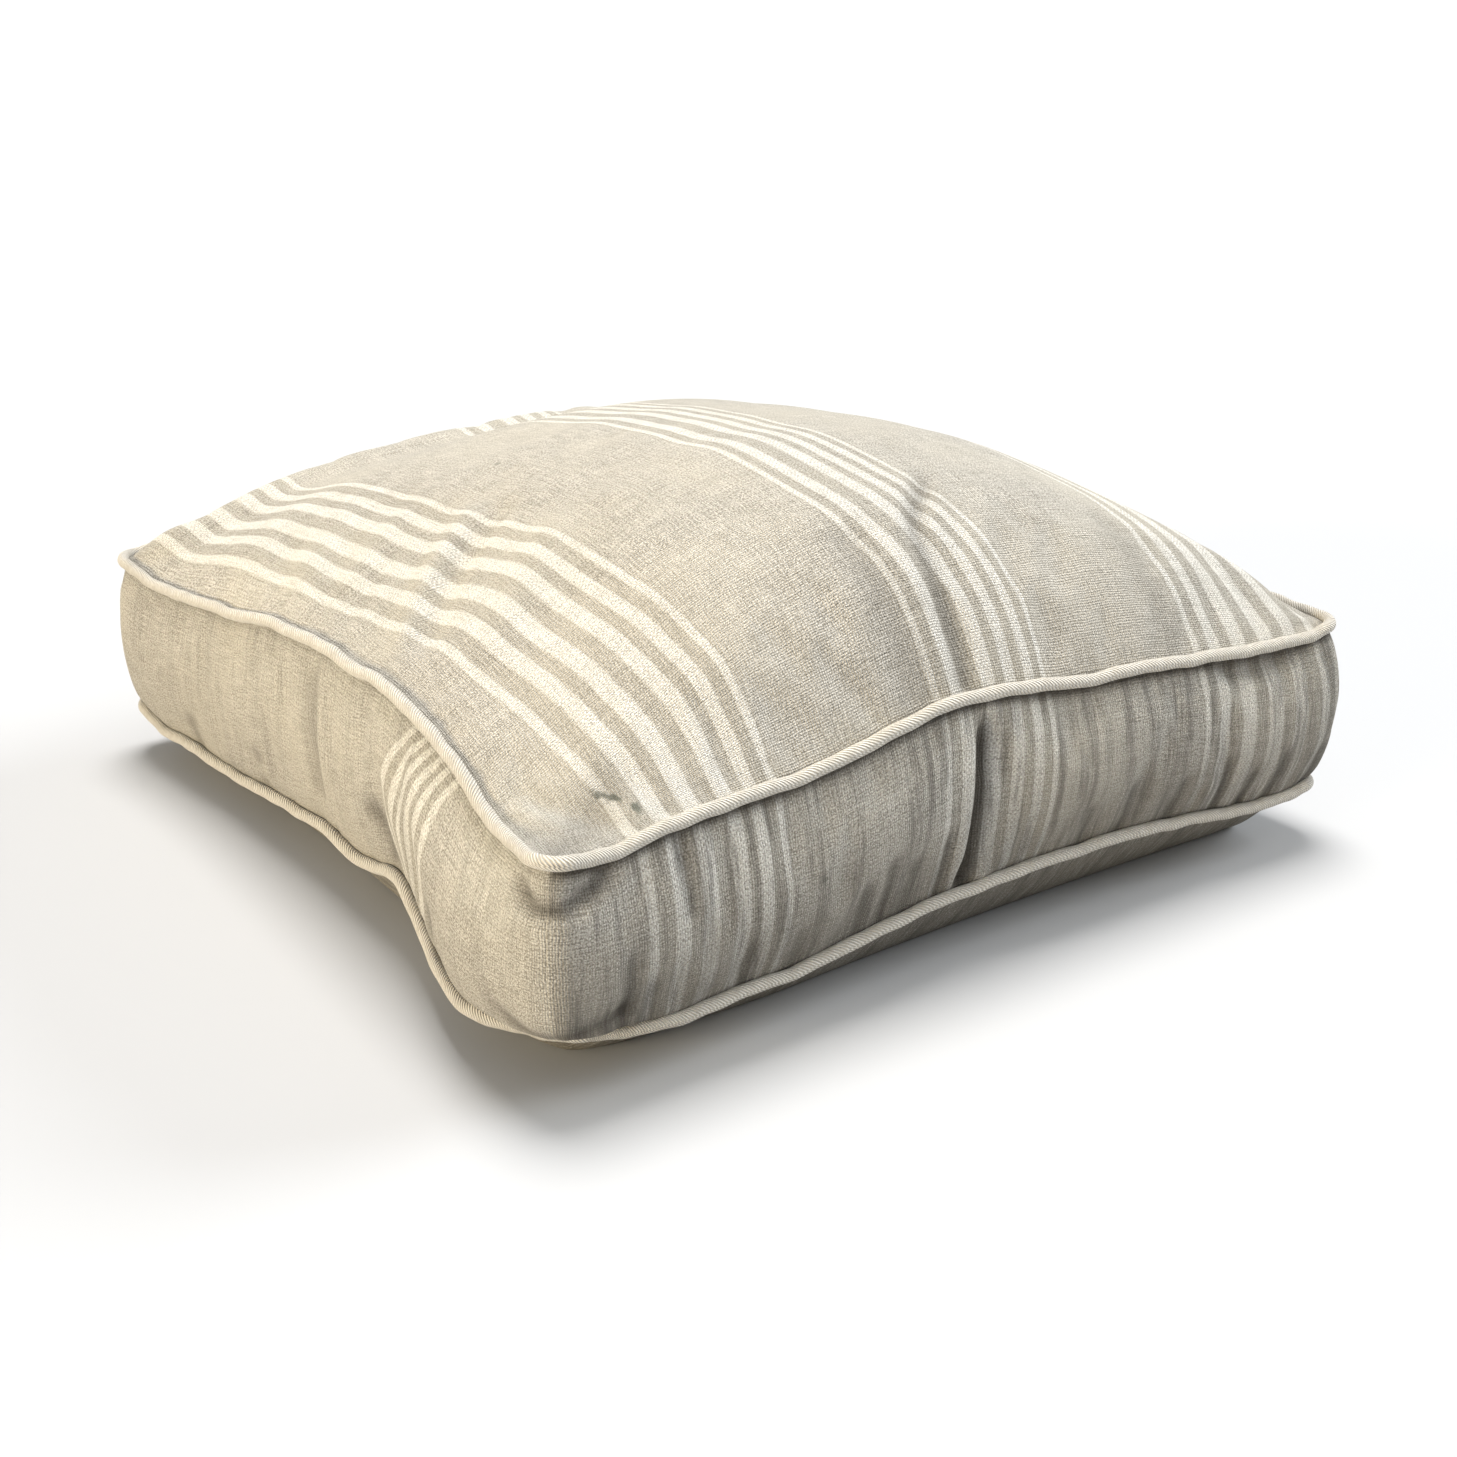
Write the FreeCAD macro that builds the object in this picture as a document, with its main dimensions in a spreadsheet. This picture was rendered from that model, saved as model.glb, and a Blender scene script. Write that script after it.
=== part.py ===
import FreeCAD, Part
import math
import os
import Sketcher
from FreeCAD import Rotation, Vector

# A square floor cushion: a box cover of striped cloth, piped above and below its boxing and
# closed by a zip across the back, over a sewn inner case that holds the loose fill.
# Millimetres, +Z up. The origin is on the floor under the middle, and the front faces -Y.

doc = FreeCAD.newDocument("FloorCushion")

# ---------------------------------------------------------------------------
# Driving dimensions
# ---------------------------------------------------------------------------

DIMENSIONS = [
    ("side", 600.0, "square, between the middles of the piping"),
    ("corner_bend", 22.0, "plan radius of the piping at a corner"),
    ("bottom_seam", 40.0, "height of the lower piping above the floor"),
    ("boxing", 110.0, "height of the boxing between the two rows of piping"),
    ("crown", 122.0, "rise of the stuffed top above the upper piping"),
    ("crown_power", 2.6, "how square the shoulder of the top is"),
    ("belly_turn", 36.0, "how far in the underside turns before it lies on the floor"),
    ("cloth", 0.8, "thickness of one layer of the cover"),
    ("piping_radius", 4.0, "outside radius of the covered cord"),
    ("cord_room", 3.0, "inside radius of the piping cover"),
    ("cord_radius", 2.9, "radius of the bare cord"),
    ("flange_start", 3.5, "where the piping's flange leaves the middle of the cord's wall"),
    ("flange_reach", 8.0, "how far the flange reaches in from the middle of the cord"),
    ("flange_half", 0.6, "half the thickness of the flange"),
    ("wall_inset", 4.4, "outer face of the boxing, in from the middle of the piping"),
    ("left_join", -5.0, "where striped and plain boxing meet on the left side"),
    ("right_join", 110.0, "where striped and plain boxing meet on the right side"),
    ("zip_strip", 524.0, "length of the two strips that hold the zip"),
    ("join_gap", 0.1, "half the gap drawn at a joining seam"),
    ("zip_height", 95.0, "height of the middle of the zip above the floor"),
    ("window_half", 5.0, "half the width of the slot in which the zip shows"),
    ("tape_length", 510.0, "length of each tape"),
    ("tape_width", 16.0, "width of each tape"),
    ("tape_thick", 0.5, "thickness of each tape"),
    ("chain_length", 480.0, "length of the two rows of coil"),
    ("coil_width", 2.5, "width of one row of coil"),
    ("coil_slot", 0.4, "half the slot that the slider's web passes along"),
    ("coil_thick", 1.9, "thickness of a row of coil"),
    ("stop_length", 4.0, "length of each metal stop"),
    ("slider_length", 11.0, "length of the slider"),
    ("slider_width", 9.0, "width of the slider"),
    ("slider_plate", 1.0, "thickness of each plate of the slider"),
    ("slider_start", 228.0, "where the slider stands when the zip is closed"),
    ("slider_clear", 0.4, "clearance between the slider and the zip"),
    ("web_length", 3.0, "length of the web between the slider's plates"),
    ("web_thick", 0.5, "thickness of that web"),
    ("rail_width", 1.2, "width of the slider's side rails"),
    ("bridge_length", 6.8, "length of the bridge along the slider"),
    ("bridge_rise", 3.4, "height of the bridge over the slider's plate"),
    ("bridge_thick", 1.0, "thickness of the bridge"),
    ("bridge_width", 1.6, "width of the bridge across the slider"),
    ("pin_radius", 0.7, "radius of the pull's cross bar and half its thickness"),
    ("pull_length", 27.0, "length of the pull from its cross bar"),
    ("pull_width", 6.6, "width of the pull"),
    ("eye_length", 5.8, "length of the eye that goes round the bridge"),
    ("eye_width", 2.8, "width of that eye"),
    ("grip_hole", 1.3, "radius of the hole near the pull's free end"),
    ("grip_margin", 4.5, "from that hole to the free end"),
    ("pad_inset", 8.6, "side of the inner case, in from the middle of the piping"),
    ("pad_drop", 2.0, "gap between the top of the cover and the top of the inner case"),
    ("pad_lift", 2.0, "gap between the underside of the cover and that of the inner case"),
    ("case_cloth", 0.5, "thickness of the inner case"),
    ("fill_gap", 0.1, "gap drawn between the inner case and the fill"),
    ("region", 400.0, "reach of the blocks that mark out a stretch of boxing"),
]

sheet = doc.addObject("Spreadsheet::Sheet", "Sizes")
for row, (alias, value, meaning) in enumerate(DIMENSIONS, start=1):
    sheet.set("A%d" % row, alias)
    sheet.set("B%d" % row, str(value))
    sheet.set("C%d" % row, meaning)
    sheet.setAlias("B%d" % row, alias)
doc.recompute()

# Faces and heights that several pieces share, as expressions on the sheet.
PIPING_LINE = "(Sizes.side / 2)"
BOTTOM_SEAM = "Sizes.bottom_seam"
TOP_SEAM = "(Sizes.bottom_seam + Sizes.boxing)"
WALL = "(Sizes.side / 2 - Sizes.wall_inset)"
WALL_BACK = "(Sizes.side / 2 - Sizes.wall_inset - Sizes.cloth)"
TAPE_BACK = "(%s - Sizes.tape_thick)" % WALL_BACK
COIL_FRONT = "(%s + Sizes.coil_thick)" % WALL_BACK
COIL_EDGE = "(Sizes.coil_slot + Sizes.coil_width)"
SLIDER_TOP = "(%s + Sizes.slider_clear + Sizes.slider_plate)" % COIL_FRONT
PIN_LINE = "(%s + (Sizes.bridge_rise - Sizes.bridge_thick) / 2)" % SLIDER_TOP

SUBPARTS = []


# ---------------------------------------------------------------------------
# Helpers
# ---------------------------------------------------------------------------

def keep(piece, label):
    """Name a finished sub-part and list it for writing out."""
    piece.Label = label
    SUBPARTS.append(piece)


def block(name, at, size):
    """A box: its low corner and its size are three expressions each."""
    box = doc.addObject("Part::Box", name)
    for prop, expression in zip(("Length", "Width", "Height"), size):
        box.setExpression(prop, expression)
    for axis, expression in zip("xyz", at):
        box.setExpression("Placement.Base." + axis, expression)
    return box


def upright_cylinder(name, at, radius, height):
    """A cylinder along +Z from three expressions for the middle of its foot."""
    cylinder = doc.addObject("Part::Cylinder", name)
    cylinder.setExpression("Radius", radius)
    cylinder.setExpression("Height", height)
    for axis, expression in zip("xyz", at):
        cylinder.setExpression("Placement.Base." + axis, expression)
    return cylinder


def cut(name, base, tool):
    """The base without the tool."""
    result = doc.addObject("Part::Cut", name)
    result.Base = base
    result.Tool = tool
    return result


def common(name, base, tool):
    """What the base and the tool share."""
    result = doc.addObject("Part::Common", name)
    result.Base = base
    result.Tool = tool
    return result


def fuse(name, pieces):
    """Touching solids joined into one."""
    result = doc.addObject("Part::MultiFuse", name)
    result.Shapes = pieces
    result.Refine = True
    return result


def rounded_square(name, half, bend, height):
    """A level sketch of a rounded square about the origin: half its side, its bend, its height."""
    sketch = doc.addObject("Sketcher::SketchObject", name)
    reach = 100.0
    straight = 80.0
    quarter = math.pi / 2
    middles = [(straight, straight), (-straight, straight), (-straight, -straight), (straight, -straight)]
    sides = [
        ((straight, reach), (-straight, reach)),
        ((-reach, straight), (-reach, -straight)),
        ((-straight, -reach), (straight, -reach)),
        ((reach, -straight), (reach, straight)),
    ]
    arcs = []
    lines = []
    for index in range(4):
        circle = Part.Circle(Vector(*middles[index], 0), Vector(0, 0, 1), reach - straight)
        arc = Part.ArcOfCircle(circle, index * quarter, (index + 1) * quarter)
        arcs.append(sketch.addGeometry(arc))
        start, end = sides[index]
        lines.append(sketch.addGeometry(Part.LineSegment(Vector(*start, 0), Vector(*end, 0))))
    for index in range(4):
        next_arc = arcs[(index + 1) % 4]
        level = "Horizontal" if index % 2 == 0 else "Vertical"
        sketch.addConstraint(Sketcher.Constraint("Tangent", arcs[index], 2, lines[index], 1))
        sketch.addConstraint(Sketcher.Constraint("Tangent", lines[index], 2, next_arc, 1))
        sketch.addConstraint(Sketcher.Constraint(level, lines[index]))
        if index > 0:
            sketch.addConstraint(Sketcher.Constraint("Equal", arcs[0], arcs[index]))
        across = "DistanceY" if index % 2 == 0 else "DistanceX"
        ends = (-1, 1, lines[index], 1) if index in (0, 3) else (lines[index], 1, -1, 1)
        number = sketch.addConstraint(Sketcher.Constraint(across, *ends, reach))
        sketch.renameConstraint(number, "half%d" % index)
        sketch.setExpression("Constraints.half%d" % index, half)
    number = sketch.addConstraint(Sketcher.Constraint("Radius", arcs[0], reach - straight))
    sketch.renameConstraint(number, "bend")
    sketch.setExpression("Constraints.bend", bend)
    sketch.setExpression("Placement.Base.z", height)
    return sketch


def slab(name, inset, low, tall):
    """A rounded square, inset from the piping line, raised into a slab."""
    half = "%s - %s" % (PIPING_LINE, inset)
    sketch = rounded_square(name + "_outline", half, "Sizes.corner_bend - %s" % inset, low)
    raised = doc.addObject("Part::Extrusion", name)
    raised.Base = sketch
    raised.DirMode = "Custom"
    raised.Dir = Vector(0, 0, 1)
    raised.Solid = True
    raised.setExpression("LengthFwd", tall)
    return raised


def ring(name, outer_inset, inner_inset, low, tall):
    """A wall that runs round the rounded square, between two insets."""
    outer = slab(name + "_outer", outer_inset, low, tall)
    inner = slab(name + "_inner", inner_inset, low, tall)
    return cut(name, outer, inner)


def loft(name, sections, straight):
    """A solid through level sections, smooth or with straight walls from each to the next."""
    solid = doc.addObject("Part::Loft", name)
    solid.Sections = sections
    solid.Solid = True
    solid.Ruled = straight
    return solid


# The crown's sections: how far up each is, and how much of the side its corners add to the bend.
CROWN_LEVELS = [0.0, 0.25, 0.5, 0.7, 0.85, 0.95, 0.99]
CROWN_BENDS = [0.0, 0.08, 0.17, 0.2, 0.2, 0.15, 0.06]
# The underside's sections: how far down each is.
BELLY_LEVELS = [0.0, 0.2, 0.4, 0.6, 0.76, 0.88, 0.96, 1.0]


def crown(name, inset, low, top_drop):
    """The stuffed top: rounded squares that shrink as a superellipse to a small flat patch."""
    sections = []
    rise = "(%s + Sizes.crown - %s - %s)" % (TOP_SEAM, top_drop, low)
    for index, (level, corner) in enumerate(zip(CROWN_LEVELS, CROWN_BENDS)):
        half = "(%s - %s) * (1 - %g ^ 2) ^ (1 / Sizes.crown_power)" % (PIPING_LINE, inset, level)
        bend = "Sizes.corner_bend - %s + %g * Sizes.side" % (inset, corner)
        height = "%s + %g * %s" % (low, level, rise)
        sections.append(rounded_square("%s_%d" % (name, index), half, bend, height))
    return loft(name, sections, False)


def belly(name, inset, high, foot):
    """The underside: a quarter ellipse in short straight steps, which ends flat at the height foot."""
    sections = []
    for index, level in enumerate(BELLY_LEVELS):
        turn = "Sizes.belly_turn * (1 - sqrt(1 - %g ^ 2))" % level
        half = "%s - %s - %s" % (PIPING_LINE, inset, turn)
        bend = "Sizes.corner_bend - %s + %s" % (inset, turn)
        height = "%s - %g * (%s - %s)" % (high, level, high, foot)
        sections.append(rounded_square("%s_%d" % (name, index), half, bend, height))
    return loft(name, sections, True)


# ---------------------------------------------------------------------------
# The cover's two panels
# ---------------------------------------------------------------------------

COVER_IN = "(Sizes.wall_inset + Sizes.cloth)"
PANEL_FOOT = "(%s + Sizes.flange_half)" % TOP_SEAM
BELLY_HEAD = "(%s - Sizes.flange_half)" % BOTTOM_SEAM

top_outside = crown("top_outside", "Sizes.wall_inset", PANEL_FOOT, "0")
top_inside = crown("top_inside", COVER_IN, PANEL_FOOT, "Sizes.cloth")
keep(cut("top_shell", top_outside, top_inside), "top_panel")

bottom_outside = belly("bottom_outside", "Sizes.wall_inset", BELLY_HEAD, "0")
bottom_inside = belly("bottom_inside", COVER_IN, BELLY_HEAD, "Sizes.cloth")
keep(cut("bottom_shell", bottom_outside, bottom_inside), "bottom_panel")

# ---------------------------------------------------------------------------
# The boxing, in the five lengths that are joined round the sides
# ---------------------------------------------------------------------------

BAND_LOW = "(%s + Sizes.flange_half)" % BOTTOM_SEAM
BAND_TALL = "(Sizes.boxing - 2 * Sizes.flange_half)"
STRIP_END = "(Sizes.zip_strip / 2)"
REGION_TALL = "(2 * Sizes.region)"

wall = ring("wall", "Sizes.wall_inset", COVER_IN, BAND_LOW, BAND_TALL)


def stretch(label, spans):
    """The part of the wall inside one or two plan rectangles, each x0, x1, y0, y1."""
    blocks = []
    for index, (x0, x1, y0, y1) in enumerate(spans):
        size = ("(%s) - (%s)" % (x1, x0), "(%s) - (%s)" % (y1, y0), REGION_TALL)
        blocks.append(block("%s_region_%d" % (label, index), (x0, y0, "-Sizes.region"), size))
    region = blocks[0] if len(blocks) == 1 else fuse(label + "_region", blocks)
    keep(common(label + "_stretch", wall, region), label)


stretch("front_boxing", [
    ("-Sizes.region", "0", "-Sizes.region", "Sizes.left_join - Sizes.join_gap"),
    ("0", "Sizes.region", "-Sizes.region", "Sizes.right_join - Sizes.join_gap"),
])
stretch("left_boxing", [
    ("-Sizes.region", "-%s - Sizes.join_gap" % STRIP_END, "Sizes.left_join + Sizes.join_gap", "Sizes.region"),
])
stretch("right_boxing", [
    ("%s + Sizes.join_gap" % STRIP_END, "Sizes.region", "Sizes.right_join + Sizes.join_gap", "Sizes.region"),
])


def zip_strip(label, low, tall):
    """One of the two strips of back boxing, whose folded edge runs along the zip."""
    corner = ("-" + STRIP_END, "0", low)
    region = block(label + "_region", corner, ("Sizes.zip_strip", "Sizes.region", tall))
    keep(common(label + "_stretch", wall, region), label)


zip_strip("back_boxing_upper", "Sizes.zip_height + Sizes.window_half", "Sizes.region")
zip_strip("back_boxing_lower", "0", "Sizes.zip_height - Sizes.window_half")

# ---------------------------------------------------------------------------
# The piping: a cloth cover with a flange, round a cotton cord
# ---------------------------------------------------------------------------


def swept_round(name, radius, height):
    """A round section carried along the piping line at the given height."""
    path = rounded_square(name + "_path", PIPING_LINE, "Sizes.corner_bend", height)
    section = doc.addObject("Sketcher::SketchObject", name + "_section")
    upright = Rotation(Vector(1, 0, 0), 90)
    section.Placement.Rotation = upright
    section.addGeometry(Part.Circle(Vector(300, 0, 0), Vector(0, 0, 1), 4))
    section.addConstraint(Sketcher.Constraint("PointOnObject", 0, 3, -1))
    number = section.addConstraint(Sketcher.Constraint("DistanceX", -1, 1, 0, 3, 300))
    section.renameConstraint(number, "reach")
    section.setExpression("Constraints.reach", PIPING_LINE)
    number = section.addConstraint(Sketcher.Constraint("Radius", 0, 4))
    section.renameConstraint(number, "radius")
    section.setExpression("Constraints.radius", radius)
    section.setExpression("Placement.Base.y", "%s - Sizes.corner_bend" % PIPING_LINE)
    section.setExpression("Placement.Base.z", height)
    sweep = doc.addObject("Part::Sweep", name)
    sweep.Sections = [section]
    sweep.Spine = (path, ["Edge%d" % (index + 1) for index in range(8)])
    sweep.Solid = True
    return sweep


for place, height in (("top", TOP_SEAM), ("bottom", BOTTOM_SEAM)):
    low = "%s - Sizes.flange_half" % height
    tube = swept_round(place + "_tube", "Sizes.piping_radius", height)
    flange = ring(place + "_flange", "Sizes.flange_start", "Sizes.flange_reach", low, "2 * Sizes.flange_half")
    bore = swept_round(place + "_bore", "Sizes.cord_room", height)
    sleeve = fuse(place + "_sleeve", [tube, flange])
    keep(cut(place + "_sleeve_bored", sleeve, bore), place + "_piping_cover")
    keep(swept_round(place + "_cord", "Sizes.cord_radius", height), place + "_piping_cord")

# ---------------------------------------------------------------------------
# The zip
# ---------------------------------------------------------------------------

CHAIN_END = "(Sizes.chain_length / 2)"
ROW_LOW = {
    "upper": "Sizes.zip_height + Sizes.coil_slot",
    "lower": "Sizes.zip_height - %s" % COIL_EDGE,
}
TAPE_LOW = {
    "upper": "Sizes.zip_height + Sizes.coil_slot",
    "lower": "Sizes.zip_height - Sizes.coil_slot - Sizes.tape_width",
}
for place in ("upper", "lower"):
    tape_at = ("-Sizes.tape_length / 2", TAPE_BACK, TAPE_LOW[place])
    tape_size = ("Sizes.tape_length", "Sizes.tape_thick", "Sizes.tape_width")
    keep(block(place + "_tape", tape_at, tape_size), "zip_tape_" + place)
    row_at = ("-" + CHAIN_END, WALL_BACK, ROW_LOW[place])
    row_size = ("Sizes.chain_length", "Sizes.coil_thick", "Sizes.coil_width")
    keep(block(place + "_row", row_at, row_size), "zip_coil_" + place)


def stop(name, start, low, tall):
    """A clamp of metal over the end of the coil."""
    return block(name, (start, WALL_BACK, low), ("Sizes.stop_length", "Sizes.coil_thick", tall))


stops = doc.addObject("Part::Compound", "stops")
stops.Links = [
    stop("closed_end_upper", CHAIN_END, ROW_LOW["upper"], "Sizes.coil_width"),
    stop("closed_end_lower", CHAIN_END, ROW_LOW["lower"], "Sizes.coil_width"),
    stop("open_end", "-%s - Sizes.stop_length" % CHAIN_END, ROW_LOW["lower"], "2 * %s" % COIL_EDGE),
]
keep(stops, "zip_stops")


def slider_block(name, along, out_from, out_to, half):
    """A block of the slider: its span along the zip, its two faces and half its width."""
    start, length = along
    at = ("Sizes.slider_start + (%s)" % start, out_from, "Sizes.zip_height - %s" % half)
    return block(name, at, (length, "(%s) - (%s)" % (out_to, out_from), "2 * %s" % half))


WHOLE_SLIDER = ("-Sizes.slider_length / 2", "Sizes.slider_length")
WEB = ("Sizes.slider_length / 2 - Sizes.web_length", "Sizes.web_length")
BRIDGE = ("-Sizes.bridge_length / 2", "Sizes.bridge_length")
BRIDGE_GAP = ("-Sizes.bridge_length / 2 + Sizes.bridge_thick", "Sizes.bridge_length - 2 * Sizes.bridge_thick")
SLIDER_HALF = "(Sizes.slider_width / 2)"
OUTER_BACK = "(%s - Sizes.slider_plate)" % SLIDER_TOP
INNER_FRONT = "(%s - Sizes.slider_clear)" % TAPE_BACK
INNER_BACK = "(%s - Sizes.slider_plate)" % INNER_FRONT
RAIL_BACK = "(%s + Sizes.slider_clear)" % WALL_BACK
BRIDGE_TOP = "(%s + Sizes.bridge_rise)" % SLIDER_TOP
BRIDGE_HALF = "(Sizes.bridge_width / 2)"

outer_plate = slider_block("outer_plate", WHOLE_SLIDER, OUTER_BACK, SLIDER_TOP, SLIDER_HALF)
inner_plate = slider_block("inner_plate", WHOLE_SLIDER, INNER_BACK, INNER_FRONT, SLIDER_HALF)
web = slider_block("web", WEB, INNER_FRONT, OUTER_BACK, "(Sizes.web_thick / 2)")
rail_slab = slider_block("rail_slab", WHOLE_SLIDER, RAIL_BACK, OUTER_BACK, SLIDER_HALF)
rail_space = slider_block("rail_space", WHOLE_SLIDER, RAIL_BACK, OUTER_BACK,
                          "(%s - Sizes.rail_width)" % SLIDER_HALF)
rails = cut("rails", rail_slab, rail_space)
bridge_slab = slider_block("bridge_slab", BRIDGE, SLIDER_TOP, BRIDGE_TOP, BRIDGE_HALF)
bridge_space = slider_block("bridge_space", BRIDGE_GAP, SLIDER_TOP,
                            "%s - Sizes.bridge_thick" % BRIDGE_TOP, BRIDGE_HALF)
bridge = cut("bridge", bridge_slab, bridge_space)
keep(fuse("slider_body", [outer_plate, inner_plate, web, rails, bridge]), "zip_slider")

PULL_HALF = "(Sizes.pull_width / 2)"
PULL_BACK = "(%s - Sizes.pin_radius)" % PIN_LINE
pull_at = ("Sizes.slider_start - Sizes.pull_length", PULL_BACK, "Sizes.zip_height - %s" % PULL_HALF)
pull_plate = block("pull_plate", pull_at, ("Sizes.pull_length", "2 * Sizes.pin_radius", "Sizes.pull_width"))
eye_at = ("Sizes.slider_start - Sizes.eye_length", PULL_BACK, "Sizes.zip_height - Sizes.eye_width / 2")
eye = block("eye", eye_at, ("Sizes.eye_length", "2 * Sizes.pin_radius", "Sizes.eye_width"))
grip_hole = upright_cylinder(
    "grip_hole",
    ("Sizes.slider_start - Sizes.pull_length + Sizes.grip_margin", PULL_BACK, "Sizes.zip_height"),
    "Sizes.grip_hole", "2 * Sizes.pin_radius")
grip_hole.Placement.Rotation = Rotation(Vector(1, 0, 0), -90)
cross_bar = upright_cylinder(
    "cross_bar", ("Sizes.slider_start", PIN_LINE, "Sizes.zip_height - %s" % PULL_HALF),
    "Sizes.pin_radius", "Sizes.pull_width")
pull_frame = cut("pull_frame", pull_plate, fuse("pull_openings", [eye, grip_hole]))
keep(fuse("pull_body", [pull_frame, cross_bar]), "zip_pull")

# ---------------------------------------------------------------------------
# The inner pad: a sewn case and its fill
# ---------------------------------------------------------------------------

CASE_IN = "(Sizes.pad_inset + Sizes.case_cloth)"
FILL_IN = "(Sizes.pad_inset + Sizes.case_cloth + Sizes.fill_gap)"
CASE_DROP = "(Sizes.cloth + Sizes.pad_drop)"
CASE_FOOT = "(Sizes.cloth + Sizes.pad_lift)"

case_top = crown("case_top_outside", "Sizes.pad_inset", TOP_SEAM, CASE_DROP)
case_top_room = crown("case_top_inside", CASE_IN, TOP_SEAM, "(%s + Sizes.case_cloth)" % CASE_DROP)
keep(cut("case_top_shell", case_top, case_top_room), "inner_case_top")

case_bottom = belly("case_bottom_outside", "Sizes.pad_inset", BOTTOM_SEAM, CASE_FOOT)
case_bottom_room = belly("case_bottom_inside", CASE_IN, BOTTOM_SEAM, "(%s + Sizes.case_cloth)" % CASE_FOOT)
keep(cut("case_bottom_shell", case_bottom, case_bottom_room), "inner_case_bottom")

keep(ring("case_wall", "Sizes.pad_inset", CASE_IN, BOTTOM_SEAM, "Sizes.boxing"), "inner_case_boxing")

FILL_DROP = "(%s + Sizes.case_cloth + Sizes.fill_gap)" % CASE_DROP
FILL_FOOT = "(%s + Sizes.case_cloth + Sizes.fill_gap)" % CASE_FOOT
fill_top = crown("fill_top", FILL_IN, TOP_SEAM, FILL_DROP)
fill_middle = slab("fill_middle", FILL_IN, BOTTOM_SEAM, "Sizes.boxing")
fill_bottom = belly("fill_bottom", FILL_IN, BOTTOM_SEAM, FILL_FOOT)
keep(fuse("fill_body", [fill_top, fill_middle, fill_bottom]), "fill")

# ---------------------------------------------------------------------------
# Check the document and write the sub-parts
# ---------------------------------------------------------------------------

doc.recompute()
for thing in doc.Objects:
    if "Invalid" in thing.State or "Error" in thing.State:
        raise RuntimeError("%s did not build: %s" % (thing.Name, thing.State))

os.makedirs("parts", exist_ok=True)
for piece in SUBPARTS:
    shape = piece.Shape
    if shape.isNull() or not shape.isValid():
        raise RuntimeError("%s has no sound shape" % piece.Label)
    shape.exportStep("parts/%s.step" % piece.Label)
    box = shape.BoundBox
    print("%-20s %d solid(s) %12.1f mm3  x %.1f..%.1f  y %.1f..%.1f  z %.1f..%.1f" % (
        piece.Label, len(shape.Solids), shape.Volume,
        box.XMin, box.XMax, box.YMin, box.YMax, box.ZMin, box.ZMax))
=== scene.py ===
# %% [markdown]
# # A boxed floor cushion in striped linen
# The cushion is a cloth box: a top panel, a bottom panel and a band between them, called the boxing.
# A cream piping runs along both seams, a zip lies across the back, and a calico case holds the feathers.
# The cover is made as one closed skin, filled by a cloth simulation, creased along given lines and only then cut
# into its panels, because panels made one by one would not meet along their seams.

# %% Load the frame
import math
from functools import partial
import bmesh
import bpy
import numpy as np
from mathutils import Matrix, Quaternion, Vector


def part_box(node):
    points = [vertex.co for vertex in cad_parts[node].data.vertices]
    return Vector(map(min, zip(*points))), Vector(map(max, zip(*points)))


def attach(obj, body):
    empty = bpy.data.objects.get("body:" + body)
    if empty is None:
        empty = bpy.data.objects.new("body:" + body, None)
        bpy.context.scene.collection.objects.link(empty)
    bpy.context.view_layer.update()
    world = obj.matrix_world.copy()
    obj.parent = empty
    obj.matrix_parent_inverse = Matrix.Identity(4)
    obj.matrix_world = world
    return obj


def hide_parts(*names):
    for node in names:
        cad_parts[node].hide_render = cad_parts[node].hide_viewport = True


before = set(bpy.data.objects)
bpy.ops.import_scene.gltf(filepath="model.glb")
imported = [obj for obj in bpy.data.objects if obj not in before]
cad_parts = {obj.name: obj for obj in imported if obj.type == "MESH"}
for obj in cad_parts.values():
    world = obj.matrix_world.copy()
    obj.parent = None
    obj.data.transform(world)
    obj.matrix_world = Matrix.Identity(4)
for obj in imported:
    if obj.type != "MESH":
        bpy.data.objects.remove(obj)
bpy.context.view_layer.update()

# %% [markdown]
# ## Lines drawn through a few points
# A sewn seam wanders gently. A maker would mark it with a few pins and let the cloth run between them,
# so each line here is a smooth curve through a few points, all in millimetres. A straight line between
# the pins would show as kinks in the cloth.

# %% A smooth line through points
def smooth_line(*points):
    """A function that passes smoothly through the points given, and stays level past their ends."""
    at, value = np.array(points, float).T
    slope = np.gradient(value, at)

    def line(x):
        x = np.clip(x, at[0], at[-1])
        i = np.clip(np.searchsorted(at, x, side="right") - 1, 0, len(at) - 2)
        gap = at[i + 1] - at[i]
        s = (x - at[i]) / gap
        return ((2 * s - 3) * s * s + 1) * value[i] + (3 - 2 * s) * s * s * value[i + 1] \
            + gap * s * (s - 1) * ((s - 1) * slope[i] + s * slope[i + 1])

    return line


def ease(x, start, end):
    """0 before start, 1 after end, and a smooth step between them."""
    s = np.clip((x - start) / (end - start), 0, 1)
    return s * s * (3 - 2 * s)


print("Halfway between 0 and 10 the line gives", smooth_line((0, 0), (1, 10))(0.5))

# %% [markdown]
# ## The two seams
# Seen from above the cover is a 600 mm square with its corners rounded where the cloth turns. The stuffing
# lifts the top seam in the middle of each side, and a full cushion pulls its sides in between the corners.
# Each side is looked at from outside, from its left end at -300 to its right end at 300.

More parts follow.
